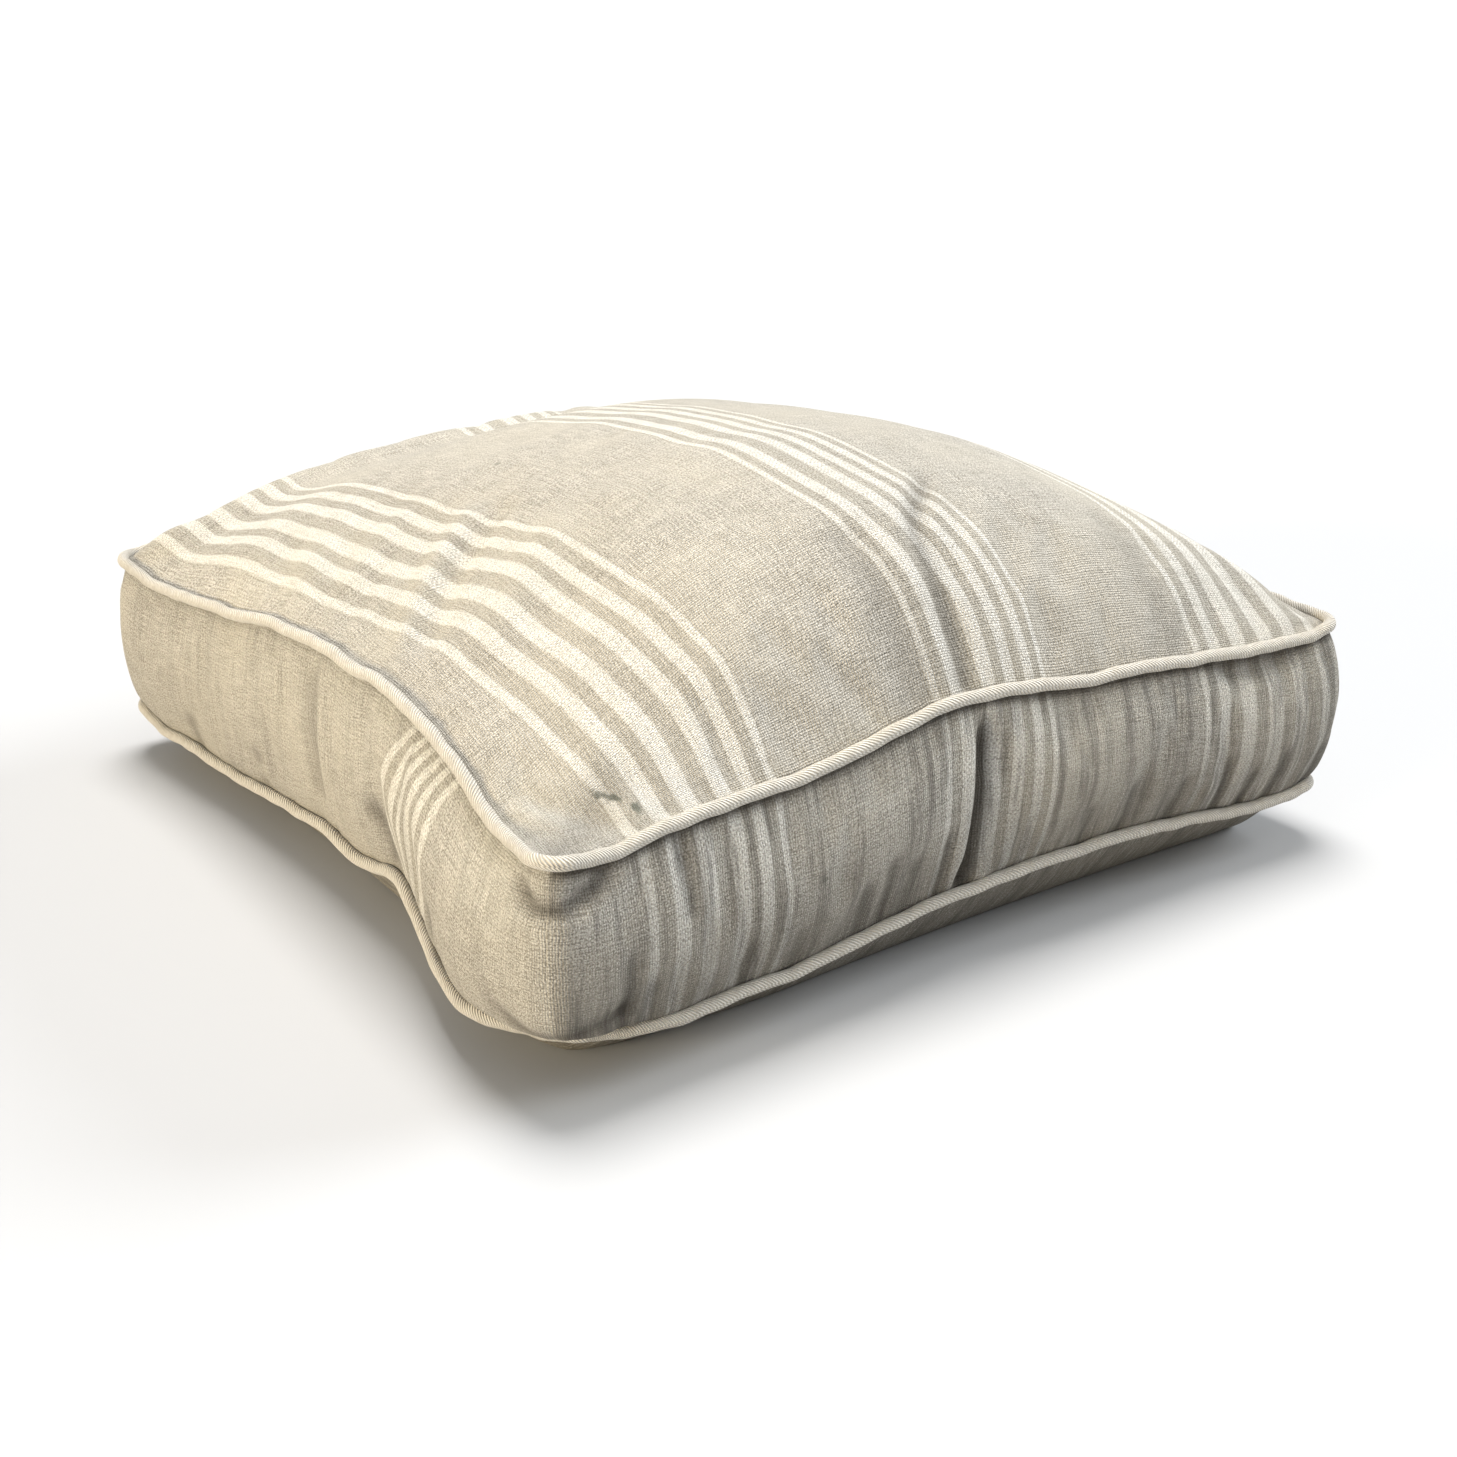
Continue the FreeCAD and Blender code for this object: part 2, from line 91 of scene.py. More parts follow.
# %% How high each seam runs, and how far it is pulled in
HALF, BEND = 300.0, 13.0
SIDES = ("front", "right", "back", "left")
SEAM_HEIGHT = {
    ("top", "front"): smooth_line((-300, 148), (-270, 145), (-227, 150), (-120, 155), (-93, 159), (-63, 165),
                                  (-33, 169), (0, 169), (31, 166), (64, 161), (132, 157), (194, 151),
                                  (238, 148), (277, 147), (300, 150)),
    ("top", "right"): smooth_line((-300, 150), (-150, 157), (-20, 164), (110, 160), (230, 152), (300, 148)),
    ("top", "back"): smooth_line((-300, 148), (-160, 154), (0, 160), (170, 155), (300, 148)),
    ("top", "left"): smooth_line((-300, 148), (-242, 142), (-180, 147), (-118, 154), (-72, 163), (-27, 167),
                                 (18, 171), (55, 170), (90, 174), (126, 171), (167, 166), (193, 161),
                                 (209, 156), (232, 149), (258, 146), (300, 148)),
    ("bottom", "front"): smooth_line((-300, 34), (-275, 32), (-250, 32), (-190, 34), (-133, 34), (-101, 37),
                                     (-56, 42), (0, 45), (56, 46), (104, 46), (153, 44), (204, 39), (256, 35),
                                     (300, 38)),
    ("bottom", "right"): smooth_line((-300, 38), (-150, 42), (20, 48), (160, 43), (300, 36)),
    ("bottom", "back"): smooth_line((-300, 36), (-150, 40), (0, 44), (150, 40), (300, 36)),
    ("bottom", "left"): smooth_line((-300, 36), (-261, 29), (-209, 31), (-163, 30), (-105, 34), (-47, 39),
                                    (2, 42), (28, 39), (65, 44), (99, 53), (130, 46), (165, 38), (200, 35),
                                    (235, 33), (268, 32), (300, 34)),
}
PULLED_IN = {
    ("top", "front"): smooth_line((-300, 0), (-150, 5), (0, 8), (150, 5), (300, 0)),
    ("top", "right"): smooth_line((-300, 0), (-150, 10), (0, 14), (150, 10), (300, 0)),
    ("top", "back"): smooth_line((-300, 0), (-250, 4), (-150, 4), (0, 4), (150, 4), (250, 4), (300, 0)),
    ("top", "left"): smooth_line((-300, 0), (-150, 15), (0, 20), (150, 15), (300, 0)),
    ("bottom", "front"): smooth_line((-300, 0), (-150, 7), (0, 10), (150, 7), (300, 0)),
    ("bottom", "right"): smooth_line((-300, 0), (-150, 9), (0, 12), (150, 9), (300, 0)),
    ("bottom", "back"): smooth_line((-300, 0), (-250, 4), (-150, 4), (0, 4), (150, 4), (250, 4), (300, 0)),
    ("bottom", "left"): smooth_line((-300, 0), (-150, 14), (0, 20), (95, 18), (150, 8), (190, -2),
                                    (230, -8), (265, -5), (300, 0)),
}


TUCKED_UNDER = {"top": (0, 0, 0, 0), "bottom": (27, 2, 4, 4)}  # at each side's left corner


def spread(t):
    """Steps along a side: wide in the middle, fine at the corners where the cloth turns."""
    return 1.18 * t - 0.18 * t ** 3


def seam(level, side, t, tucked=1.0):
    """Points in mm on a seam. t runs from -1 at the side's left corner to 1 at its right corner."""
    t = np.asarray(t, float)
    straight = HALF - BEND
    s = (straight + BEND * math.pi / 4) * spread(t)
    turn = np.clip(np.abs(s) - straight, 0, None) / BEND
    over = np.sign(s) * (np.minimum(np.abs(s), straight) + BEND * np.sin(turn))
    out = HALF - BEND * (1 - np.cos(turn)) - PULLED_IN[level, side](HALF * spread(t))
    left = SIDES.index(side)
    right = (left + 1) % 4
    tuck = TUCKED_UNDER[level][left] * ease(-t, 0.62, 1) + TUCKED_UNDER[level][right] * ease(t, 0.62, 1)
    tuck = 0.7 * tuck * tucked
    over, out = over - np.sign(t) * tuck, out - tuck
    x, y = {"front": (over, -out), "right": (out, over), "back": (-over, out), "left": (-out, -over)}[side]
    return np.stack([x, y, SEAM_HEIGHT[level, side](HALF * spread(t))], -1)


for level in ("top", "bottom"):
    print(level, "seam, middle of the front:", np.round(seam(level, "front", 0)))

# %% [markdown]
# ## A panel between four seams
# A panel is cut flat and sewn on all four sides, so its surface is a blend of its four seams, with the
# crown or the belly added. The crown is the height that the stuffing adds. It rises steeply behind the
# front seam, slowly from the left seam, and sinks towards the back, where it has been leant on.

# %% The crown and the belly
CROWN = 89.0
CROWN_FRONT = smooth_line((-300, 0), (-285, 0.1), (-247, 0.28), (-200, 0.53), (-150, 0.84), (-80, 0.99), (0, 1),
                          (80, 1.03), (177, 0.85), (235, 0.61), (280, 0.32), (300, 0))
CROWN_BACK = smooth_line((-300, 0), (-285, 0.25), (-247, 0.4), (-200, 0.54), (-150, 0.63), (-80, 0.68), (0, 0.7),
                         (80, 0.72), (177, 0.58), (235, 0.42), (280, 0.2), (300, 0))
CROWN_DEEP = smooth_line((-300, 0), (-288, 0.22), (-255, 0.7), (-215, 0.88), (-160, 0.95), (-80, 0.99), (0, 1),
                         (80, 1.04), (160, 1.05), (240, 0.74), (285, 0.58), (300, 0))
BELLY_TURN = 34.0


def patch(level, u, v):
    """The blend of a panel's four seams, in mm."""
    across, deep = (spread(u)[:, None] + 1) / 2, (spread(v)[:, None] + 1) / 2
    one = np.ones_like(u)
    front, back = seam(level, "front", u), seam(level, "back", -u)
    right, left = seam(level, "right", v), seam(level, "left", -v)
    corners = [seam(level, side, -one) for side in SIDES]
    bilinear = (1 - deep) * ((1 - across) * corners[0] + across * corners[1]) \
        + deep * (across * corners[2] + (1 - across) * corners[3])
    return (1 - deep) * front + deep * back + (1 - across) * left + across * right - bilinear


def top_shape(u, v):
    place = patch("top", u, v)
    x, y = HALF * spread(u), HALF * spread(v)
    back = ease(y, -150, 200)
    place[:, 2] += CROWN * CROWN_DEEP(y) * ((1 - back) * CROWN_FRONT(x) + back * CROWN_BACK(x))
    return place, np.stack([x, y], -1)


def bottom_shape(u, v):
    """The bottom panel rolls under from its seams and then lies flat on the floor, at height 0."""
    place = patch("bottom", u, v)
    x, y = HALF * spread(u), HALF * spread(v)
    flat = 1.0
    turn = BELLY_TURN + 40 * ease(-(x + y), 380, 600)
    for edge in (HALF - x, HALF + x, HALF - y, HALF + y):
        flat = flat * (1 - (1 - np.clip(edge / turn, 0, 1)) ** 1.35)
    place[:, 2] *= 1 - flat
    return place, np.stack([x, y], -1)


print("Crown at the middle in mm:", round(float(top_shape(np.zeros(1), np.zeros(1))[0][0, 2])))

# %% [markdown]
# ## The boxing
# The boxing is the band between the seams. It swells between them, except along the zip, where the tape
# holds it straight. Its pattern is measured round the cushion from the middle of the front. On the left
# side the band is gathered, so its stripes draw together towards the bottom seam.

# %% How far the band swells, and where it is joined
BOXING = 110.0
COLUMNS, ROWS, ZIP_ROW = 144, 24, 11  # faces along a side, faces up the band, and the row that ends at the zip
ZIP_LOW, ZIP_HIGH, STRIP_END = 90.0, 100.0, 262.0
LEFT_JOIN, RIGHT_JOIN = -5.0, 110.0
BULGE = {
    "front": smooth_line((-300, 12), (-200, 13), (-60, 12), (0, 8), (60, 12), (200, 13), (300, 14)),
    "right": smooth_line((-300, 14), (-200, 13), (0, 12), (300, 11)),
    "back": smooth_line((-300, 11), (-262, 5), (-180, 4), (0, 4), (180, 4), (262, 5), (300, 10)),
    "left": smooth_line((-300, 10), (-200, 9), (0, 8), (110, 9), (180, 12), (240, 14), (300, 12)),
}
print("The band is", BOXING, "mm high and joined at", LEFT_JOIN, "and", RIGHT_JOIN, "mm")

# %% The band's points
def boxing_shape(u, v):
    """The band's points, counted round from the front left corner, and their place on the pattern."""
    column, row = np.round((u + 1) * 2 * COLUMNS).astype(int), np.round((v + 1) / 2 * ROWS)
    number = np.minimum(column // COLUMNS, 3)
    t = 2 * (column - number * COLUMNS) / COLUMNS - 1
    place, pattern = np.zeros((len(u), 3)), np.zeros((len(u), 2))
    for i, side in enumerate(SIDES):
        on = number == i
        low, high = seam("bottom", side, t[on], 0.0), seam("top", side, t[on])
        tuck = seam("bottom", side, t[on]) - low
        along = HALF * spread(t[on])
        share = row[on] / ROWS
        if side == "back":
            lower, upper = ZIP_LOW - low[:, 2], high[:, 2] - ZIP_HIGH
            height = np.where(row[on] <= ZIP_ROW, low[:, 2] + lower * row[on] / ZIP_ROW,
                              ZIP_HIGH + upper * (row[on] - ZIP_ROW - 1) / (ROWS - ZIP_ROW - 1))
            held = 1 - ease(np.abs(along), STRIP_END, HALF)
            share = (1 - held) * share + held * (height - low[:, 2]) / (high[:, 2] - low[:, 2])
        roll = 1 - np.sqrt(1 - np.clip(1 - share / 0.16, 0, 1)[:, None] ** 2)
        spot = low + (high - low) * share[:, None] + tuck * roll
        swell = BULGE[side](along) * (1 - (2 * share - 1) ** 2) ** 0.8
        if side == "back":
            swell *= 1 - held * (1 - ease(np.abs(spot[:, 2] - 95), 12, 32))
        corner = np.clip(np.abs(along) / HALF - 0.9, 0, 0.1) / 0.1 * math.pi / 4 * np.sign(along)
        out = {"front": (np.sin(corner), -np.cos(corner)), "right": (np.cos(corner), np.sin(corner)),
               "back": (-np.sin(corner), np.cos(corner)), "left": (-np.cos(corner), -np.sin(corner))}[side]
        spot[:, 0] += out[0] * swell
        spot[:, 1] += out[1] * swell
        place[on] = spot
        pattern[on, 0] = along + (0, 600, 1200, -600)[i]
        pattern[on, 1] = share * BOXING
    return place, pattern


print("The front swells to", round(-boxing_shape(np.array([-0.75]), np.zeros(1))[0][0, 1]), "mm from the middle")

# %% Where the stripes run
STRIPE_PITCH, STRIPE_HALF = 215.0, 46.0  # from one group of stripes to the next, and half a group's width
CLOTH_AT = smooth_line((-300, -314), (-247, -261), (-227, -243), (-209, -225), (-186, -206), (-169, -187),
                       (-154, -169), (-35, -46), (-20, -28), (6, -9), (22, 9), (38, 28), (50, 46), (178, 169),
                       (194, 187), (216, 206), (240, 224), (264, 243), (284, 261), (300, 277))
GATHER_MIDDLE = smooth_line((0, -466), (30, -463), (55, -462), (85, -450), (110, -427))
GATHER_WIDTH = smooth_line((0, 44), (30, 62), (55, 68), (85, 62), (110, 54))


def top_loom(pattern):
    """Where a point of the top lies across the loom, in mm. The cloth has crept left behind the front seam."""
    x, y = pattern.T
    creep = 16 * ease(y, -285, -130) + 18 * ease(y, -130, 60) * (1 - ease(x, -260, 0)) \
        - 14 * ease(y, -60, 80) * ease(x, -120, -30) - 8 * ease(x, 100, 200) * ease(y, -285, -130)
    return CLOTH_AT(x + creep)


def stripe_place(pattern):
    """Where a point of the pattern lies on the loom's cloth, in mm. The gathers shift the stripes a little."""
    where = CLOTH_AT(pattern[:, 0]) + np.minimum(pattern[:, 0] + 300, 0) + np.maximum(pattern[:, 0] - 300, 0)
    middle, width = GATHER_MIDDLE(pattern[:, 1]), GATHER_WIDTH(pattern[:, 1])
    off = (pattern[:, 0] - middle) / (width / 2)
    group = -2 * STRIPE_PITCH + STRIPE_HALF * off
    near = -2 * STRIPE_PITCH + STRIPE_HALF
    share = (pattern[:, 0] - middle - width / 2) / np.maximum(-300 - middle - width / 2, 1)
    gathered = np.where(off > 1, near + (CLOTH_AT(-300) - near) * share, group)
    past = 0.6 * (pattern[:, 0] - middle + width / 2) - 2 * STRIPE_PITCH - STRIPE_HALF
    gathered = np.where(off < -1, past, gathered)
    return np.where(pattern[:, 0] < -300, gathered, where)


print("The middle of the front lies at", round(float(stripe_place(np.zeros((1, 2)))[0])), "mm on the loom")


# %% [markdown]
# ## A grid of cloth
# Cloth is a grid of threads, so each panel starts from Blender's own grid and its points are put in
# place. Two maps go with it: "weave" holds real millimetres along the threads, for the texture of the
# weave, and "pattern" holds where on the cushion each point lies, for the stripes.

# %% A grid whose points are placed
def mesh_points(mesh):
    """All points of a mesh, one row each."""
    points = np.zeros(len(mesh.vertices) * 3, np.float32)
    mesh.vertices.foreach_get("co", points)
    return points.reshape(-1, 3).astype(float)


def set_points(mesh, points):
    mesh.vertices.foreach_set("co", points.astype(np.float32).ravel())
    mesh.update()


def set_map(mesh, name, values):
    """A UV map from one pair of numbers for each point of the mesh."""
    corner = np.zeros(len(mesh.loops), int)
    mesh.loops.foreach_get("vertex_index", corner)
    layer = mesh.uv_layers.get(name) or mesh.uv_layers.new(name=name)
    layer.data.foreach_set("uv", values[corner].astype(np.float32).ravel())


def cloth_grid(name, columns, rows, shape, loom=None, inside_out=False):
    """A grid of columns by rows, placed by shape(u, v) in mm and kept as a mesh in metres."""
    bm = bmesh.new()
    bmesh.ops.create_grid(bm, x_segments=columns, y_segments=rows, size=1)
    bm.verts.sort(key=lambda p: round(p.co.y, 5) * 10000 + p.co.x)
    mesh = bpy.data.meshes.new(name)
    bm.to_mesh(mesh)
    bm.free()
    flat = mesh_points(mesh)
    place, pattern = shape(flat[:, 0], flat[:, 1])
    square = place.reshape(rows + 1, columns + 1, 3)
    lengths = [np.concatenate([[0], np.cumsum(np.linalg.norm(np.diff(line, axis=0), axis=1))])
               for line in (square[rows // 2], square[:, columns // 2])]
    weave = np.stack(np.meshgrid(*lengths), -1).reshape(-1, 2)
    set_points(mesh, place / 1000)
    set_map(mesh, "weave", weave / 1000)
    set_map(mesh, "pattern", pattern / 1000)
    if loom:
        set_map(mesh, "loom", np.stack([loom(pattern), pattern[:, 1]], -1) / 1000)
    if inside_out:
        mesh.flip_normals()
    return mesh


top_mesh = cloth_grid("top", COLUMNS, COLUMNS, top_shape, top_loom)
bottom_mesh = cloth_grid("bottom", COLUMNS, COLUMNS, bottom_shape, inside_out=True)
boxing_mesh = cloth_grid("boxing", 4 * COLUMNS, ROWS, boxing_shape, stripe_place)
print("Faces:", len(top_mesh.polygons), len(bottom_mesh.polygons), len(boxing_mesh.polygons))

# %% [markdown]
# ## One closed skin
# The three grids are joined and their shared edges merged. Each face keeps a number that says which
# piece of cloth it belongs to, so the skin can be cut along the real seams afterwards.

# %% Number the pieces and join the grids
PIECES = ("top_panel", "bottom_panel", "front_boxing", "left_boxing", "right_boxing", "back_boxing_upper",
          "back_boxing_lower", "zip_window")


def piece_number(centre):
    """Which piece a boxing face belongs to, from the middle of the face in mm."""
    x, y, z = centre
    if y > HALF - 30 and abs(x) < STRIP_END:
        return 5 if z > ZIP_HIGH else 6 if z < ZIP_LOW else 7
    if x < 0 and y > LEFT_JOIN:
        return 3
    if x > 0 and y > RIGHT_JOIN:
        return 4
    return 2


skin = bmesh.new()
for number, mesh in enumerate((top_mesh, bottom_mesh, boxing_mesh)):
    first = len(skin.faces)
    skin.from_mesh(mesh)
    skin.faces.ensure_lookup_table()
    for face in skin.faces[first:]:
        face.material_index = number if number < 2 else piece_number(face.calc_center_median() * 1000)
        face.smooth = True
bmesh.ops.remove_doubles(skin, verts=skin.verts, dist=0.0002)
cover_mesh = bpy.data.meshes.new("cover")
skin.to_mesh(cover_mesh)
open_edges = sum(1 for e in skin.edges if len(e.link_faces) != 2)
skin.free()
cover = bpy.data.objects.new("cover", cover_mesh)
bpy.context.scene.collection.objects.link(cover)
print("Cover:", len(cover_mesh.vertices), "points,", open_edges, "open edges")

# %% [markdown]
# ## Filling the cover
# Feathers push outwards and the seams hold. Blender's Cloth does both: its pressure is the filling, and
# a pinned point is a point held by a seam, the zip or the floor. The cloth is a little larger than its
# space, so it puckers beside the seams as real linen does. Each point may move 8 mm at most, so the
# cushion keeps its size.

# %% Pin the seams and blow the cover up
MOST_MOVE, SETTLING = 0.008, 22  # metres, and the frames the cloth gets to settle


def face_numbers(mesh):
    """The piece number of each face."""
    numbers = np.zeros(len(mesh.polygons), int)
    mesh.polygons.foreach_get("material_index", numbers)
    return numbers


def piece_of_points(mesh):
    """For each point the number of its piece, or -1 on a seam between two pieces."""
    found = np.full(len(mesh.vertices), -2)
    for face, number in zip(mesh.polygons, face_numbers(mesh)):
        for corner in face.vertices:
            found[corner] = number if found[corner] in (-2, number) else -1
    return found


belongs = piece_of_points(cover_mesh)
points = mesh_points(cover_mesh)
zip_band = (np.abs(points[:, 0]) < 0.275) & (points[:, 1] > 0.285) & (np.abs(points[:, 2] - 0.095) < 0.016)
numbers = face_numbers(cover_mesh)
touch = np.zeros((len(points), 3), bool)
for face, number in zip(cover_mesh.polygons, numbers):
    touch[list(face.vertices), min(number, 2)] = True
panel_edge = touch[:, :2].any(axis=1) & touch[:, 2]
held = panel_edge | zip_band | (belongs == 1) | (belongs == 7)
pins = cover.vertex_groups.new(name="held")
pins.add([int(i) for i in np.where(held)[0]], 1.0, "REPLACE")
cloth = cover.modifiers.new("Filling", "CLOTH")
cloth.settings.quality = 6
cloth.settings.mass = 0.15
cloth.settings.tension_stiffness = cloth.settings.compression_stiffness = 25
cloth.settings.shear_stiffness = 8
cloth.settings.bending_stiffness = 2.0
cloth.settings.use_pressure = True
cloth.settings.uniform_pressure_force = 3
cloth.settings.shrink_min = -0.009
cloth.settings.vertex_group_mass = "held"
cloth.settings.effector_weights.gravity = 0
cloth.collision_settings.use_collision = False
cloth.point_cache.frame_start, cloth.point_cache.frame_end = 1, SETTLING
for step in range(1, SETTLING + 1):
    bpy.context.scene.frame_set(step)
filled = cover.evaluated_get(bpy.context.evaluated_depsgraph_get()).to_mesh()
move = mesh_points(filled) - points
cover.to_mesh_clear()
cover.modifiers.remove(cloth)
bpy.context.scene.frame_set(1)
far = np.linalg.norm(move, axis=1, keepdims=True)
print("Moved in mm, mean and most:", np.round([far.mean() * 1000, far.max() * 1000], 1))
move *= MOST_MOVE * np.tanh(far / MOST_MOVE) / np.maximum(far, 1e-9)
set_points(cover_mesh, points + move)

# %% [markdown]
# ## Creases
# The big shape is there, but a used cushion also has creases where it has been sat on and puckers where
# the seam gathers the cloth. They are pressed in one by one: each crease is a line drawn on the cloth, and
# the points near it move in or out along their normals. A simulation would put creases somewhere, but
# not where this cushion has them.

# %% Where the creases lie
TOP_CREASES = (
    # the line in mm on the panel, its width, how deep its groove is, and the step from one side to the other
    (((-286, -92), (-262, -66), (-238, -42), (-212, -22), (-186, -6), (-160, 8)), 6, -0.9, 5.0),
    (((-252, -150), (-205, -118), (-170, -92), (-145, -70)), 10, -0.8, 2.2),
    (((-262, 10), (-225, 32), (-190, 60)), 10, -0.8, 2.0),
    (((-272, 60), (-230, 92), (-195, 118)), 10, -0.6, 1.8),
    (((-275, 120), (-240, 150), (-205, 180)), 11, -0.5, 1.5),
    (((62, -165), (36, -192), (14, -212), (0, -232), (-8, -262), (-12, -296)), 6.5, -3.6, 0.0),
    (((-40, -205), (-46, -240), (-44, -294)), 14, -2.0, 0.0),
    (((150, -215), (158, -250), (160, -294)), 12, -1.5, 0.0),
    (((-230, -255), (-262, -276), (-290, -290)), 12, -2.0, 0.0),
)
BOXING_CREASES = (
    (((-3, 104), (-4, 80), (-5, 50), (-8, 20), (-11, 0)), 5.5, -6.5, 0.0),
    (((-14, 100), (-16, 60), (-21, 0)), 6, 3.0, 0.0),
    (((12, 70), (10, 40), (6, 0)), 7, 2.0, 0.0),
    (((-222, 110), (-223, 90), (-221, 66)), 4, -2.4, 0.0),
    (((-328, 100), (-314, 91), (-300, 87), (-286, 91), (-270, 101)), 5, -3.4, 0.0),
    (((-322, 84), (-300, 78), (-280, 83)), 6, 2.4, 0.0),
    (((-345, 26), (-318, 14), (-295, 12), (-262, 22)), 6, -2.6, 0.0),
    (((180, 106), (215, 99), (260, 103)), 6, -2.6, 0.0),
    (((-505, 0), (-510, 20), (-524, 36)), 9, -2.5, 0.0),
    (((-560, 8), (-600, 16), (-680, 14), (-760, 12)), 5, 2.0, 0.0),
    (((-598, 104), (-597, 55), (-600, 4)), 5, -1.6, 1.2),
    (((710, 106), (711, 55), (709, 4)), 4, -1.6, 1.0),
)
PUCKERS = (
    # where it meets the bottom seam, how far it leans, how tall, how wide and how deep it is, in mm
    (-92, -4, 42, 5, 2.6), (-74, -2, 50, 5, 3.0), (-58, 3, 40, 5, 2.4), (-30, 2, 46, 5, 2.4),
    (88, -3, 36, 5, 2.2), (120, 2, 44, 5, 2.6), (164, 3, 40, 5, 2.2), (205, -2, 48, 5, 2.6),
    (229, 2, 36, 5, 2.2), (254, 3, 46, 5, 2.4), (288, 2, 40, 6, 2.4), (-140, -3, 34, 5, 1.8),
    (-176, -2, 38, 5, 2.0), (-246, 2, 40, 6, 1.8), (-262, 3, 64, 5, 2.2), (380, 2, 40, 6, 2.2),
    (455, -2, 50, 6, 2.4), (560, 3, 36, 6, 2.0), (640, -3, 44, 6, 2.2), (790, 2, 40, 6, 2.0),
    (-420, 2, 40, 6, 2.2), (-700, 3, 34, 8, 1.6), (-800, -3, 30, 8, 1.8),
)
BOXING_CREASES += tuple((((x + lean, tall), (x + lean * 0.4, tall * 0.5), (x, 0)), wide, -deep, 0.0)
                        for x, lean, tall, wide, deep in PUCKERS)
print(len(TOP_CREASES), "creases on the top and", len(BOXING_CREASES), "on the boxing")


# %% Press creases along lines
def beside(line, at):
    """For each point of at: its signed distance in mm to the line, and how far along the line it is, 0 to 1."""
    knots = np.array(line, float)
    steps = np.arange(len(knots))
    fine = np.linspace(0, steps[-1], 8 * len(knots))
    path = np.stack([smooth_line(*zip(steps, knots[:, i]))(fine) for i in (0, 1)], -1)
    best, share = np.full(len(at), 1e6), np.zeros(len(at))
    for i, (start, end) in enumerate(zip(path[:-1], path[1:])):
        run = end - start
        away = at - start
        t = np.clip(away @ run / (run @ run), 0, 1)
        gap = away - t[:, None] * run
        size = np.hypot(*gap.T) * np.where(run[0] * gap[:, 1] - run[1] * gap[:, 0] < 0, -1, 1)
        near = np.abs(size) < np.abs(best)
        best[near], share[near] = size[near], (i + t[near]) / (len(path) - 1)
    return best, share


def press(creases, at):
    """How far in mm each point moves out along its normal."""
    move = np.zeros(len(at))
    for line, width, groove, step in creases:
        away, share = beside(line, at)
        fade = ease(share, -0.02, 0.2) * (1 - ease(share, 0.85, 1.02)) if step else ease(share, -0.02, 0.25)
        bell = np.exp(-(away / width) ** 2)
        lean = away / width * np.exp(0.5 - 0.5 * (away / (width * 1.6)) ** 2)
        move += fade * (groove * bell + step * lean * 0.6)
    return move


def map_of_points(mesh, name, numbers):
    """One UV value for each point, read from its faces of these pieces."""
    values = np.zeros((len(mesh.vertices), 2))
    uv = np.zeros(len(mesh.loops) * 2, np.float32)
    mesh.uv_layers[name].data.foreach_get("uv", uv)
    corner, face = np.zeros(len(mesh.loops), int), np.repeat(face_numbers(mesh), 4)
    mesh.loops.foreach_get("vertex_index", corner)
    chosen = np.isin(face, numbers)
    values[corner[chosen]] = uv.reshape(-1, 2)[chosen]
    return values * 1000


# %% Press them in
normals = np.zeros(len(cover_mesh.vertices) * 3, np.float32)
cover_mesh.vertices.foreach_get("normal", normals)
normals = normals.reshape(-1, 3)
on_top = map_of_points(cover_mesh, "pattern", (0,))
on_boxing = map_of_points(cover_mesh, "pattern", (2, 3, 4))
out = np.where(belongs == 0, press(TOP_CREASES, on_top), 0)
on_band = touch[:, 2] & ~panel_edge & ~zip_band
out = np.where(on_band, press(BOXING_CREASES, on_boxing), out)
set_points(cover_mesh, mesh_points(cover_mesh) + normals * out[:, None] / 1000)
print("Creases move the cloth in mm:", round(out.min(), 1), "to", round(out.max(), 1))

# %% [markdown]
# ## Painted shade on the cloth
# Shade is painted into the cloth's colour in a fold and under the piping, and the band and the belly are
# painted darker than the top, as painted shade. Both are kept on the cloth's points as numbers, "crease"
# for the folds and a second one for the band and the belly, which the linen's material reads later.

# %% Painted shade in the folds, under the piping, on the band and on the belly
on_left = on_boxing[:, 0] < -HALF
shade = cover_mesh.attributes.new("crease", "FLOAT", "POINT")
# Painted shade: the furrows of the top and the folds of the band are darkened
furrows = press([crease for crease in TOP_CREASES if not crease[3]], on_top)
on_panel = np.where(belongs == 0, np.clip(-furrows / 7.0, 0, 0.5), 0)
painted_fold_shade = np.where(on_band, np.clip(-out / 4.0, 0, 1), on_panel)
# Painted shade just under the top piping, weaker on the lit left side
under_pipe = np.where(on_left, 0.3, 1.0) * ease(on_boxing[:, 1], 99, 106)
painted_fold_shade = np.where(touch[:, 2] & ~zip_band, np.maximum(painted_fold_shade, under_pipe), painted_fold_shade)
shade.data.foreach_set("value", painted_fold_shade.astype(np.float32))
# Painted shade share: 1 on the belly and on the front, right and back of the band, 0.3 on the lit left side
painted_shade_share = cover_mesh.attributes.new("painted_shade_share", "FLOAT", "POINT")
painted_shade_sides = np.where(belongs == 1, 1.0, touch[:, 2] * np.where(on_left, 0.3, 1.0))
painted_shade_share.data.foreach_set("value", painted_shade_sides.astype(np.float32))
print("Points in a fold:", int((painted_fold_shade > 0.5).sum()))

# %% [markdown]
# ## Piping
# Piping is a strip of cloth folded round a cord and caught in the seam, so it lies just outside the
# seam line all the way round. It is a tube along that line, made from a grid rolled up. Nothing wavers as
# much as hand-cut bias cloth, so the line and the thickness waver a little too.

# %% A tube along a seam
AROUND, PIPE_STEPS = 18, 240  # faces round the tube, and along each side
BESIDE = 3.2  # how far in mm the tube's middle lies outside the seam


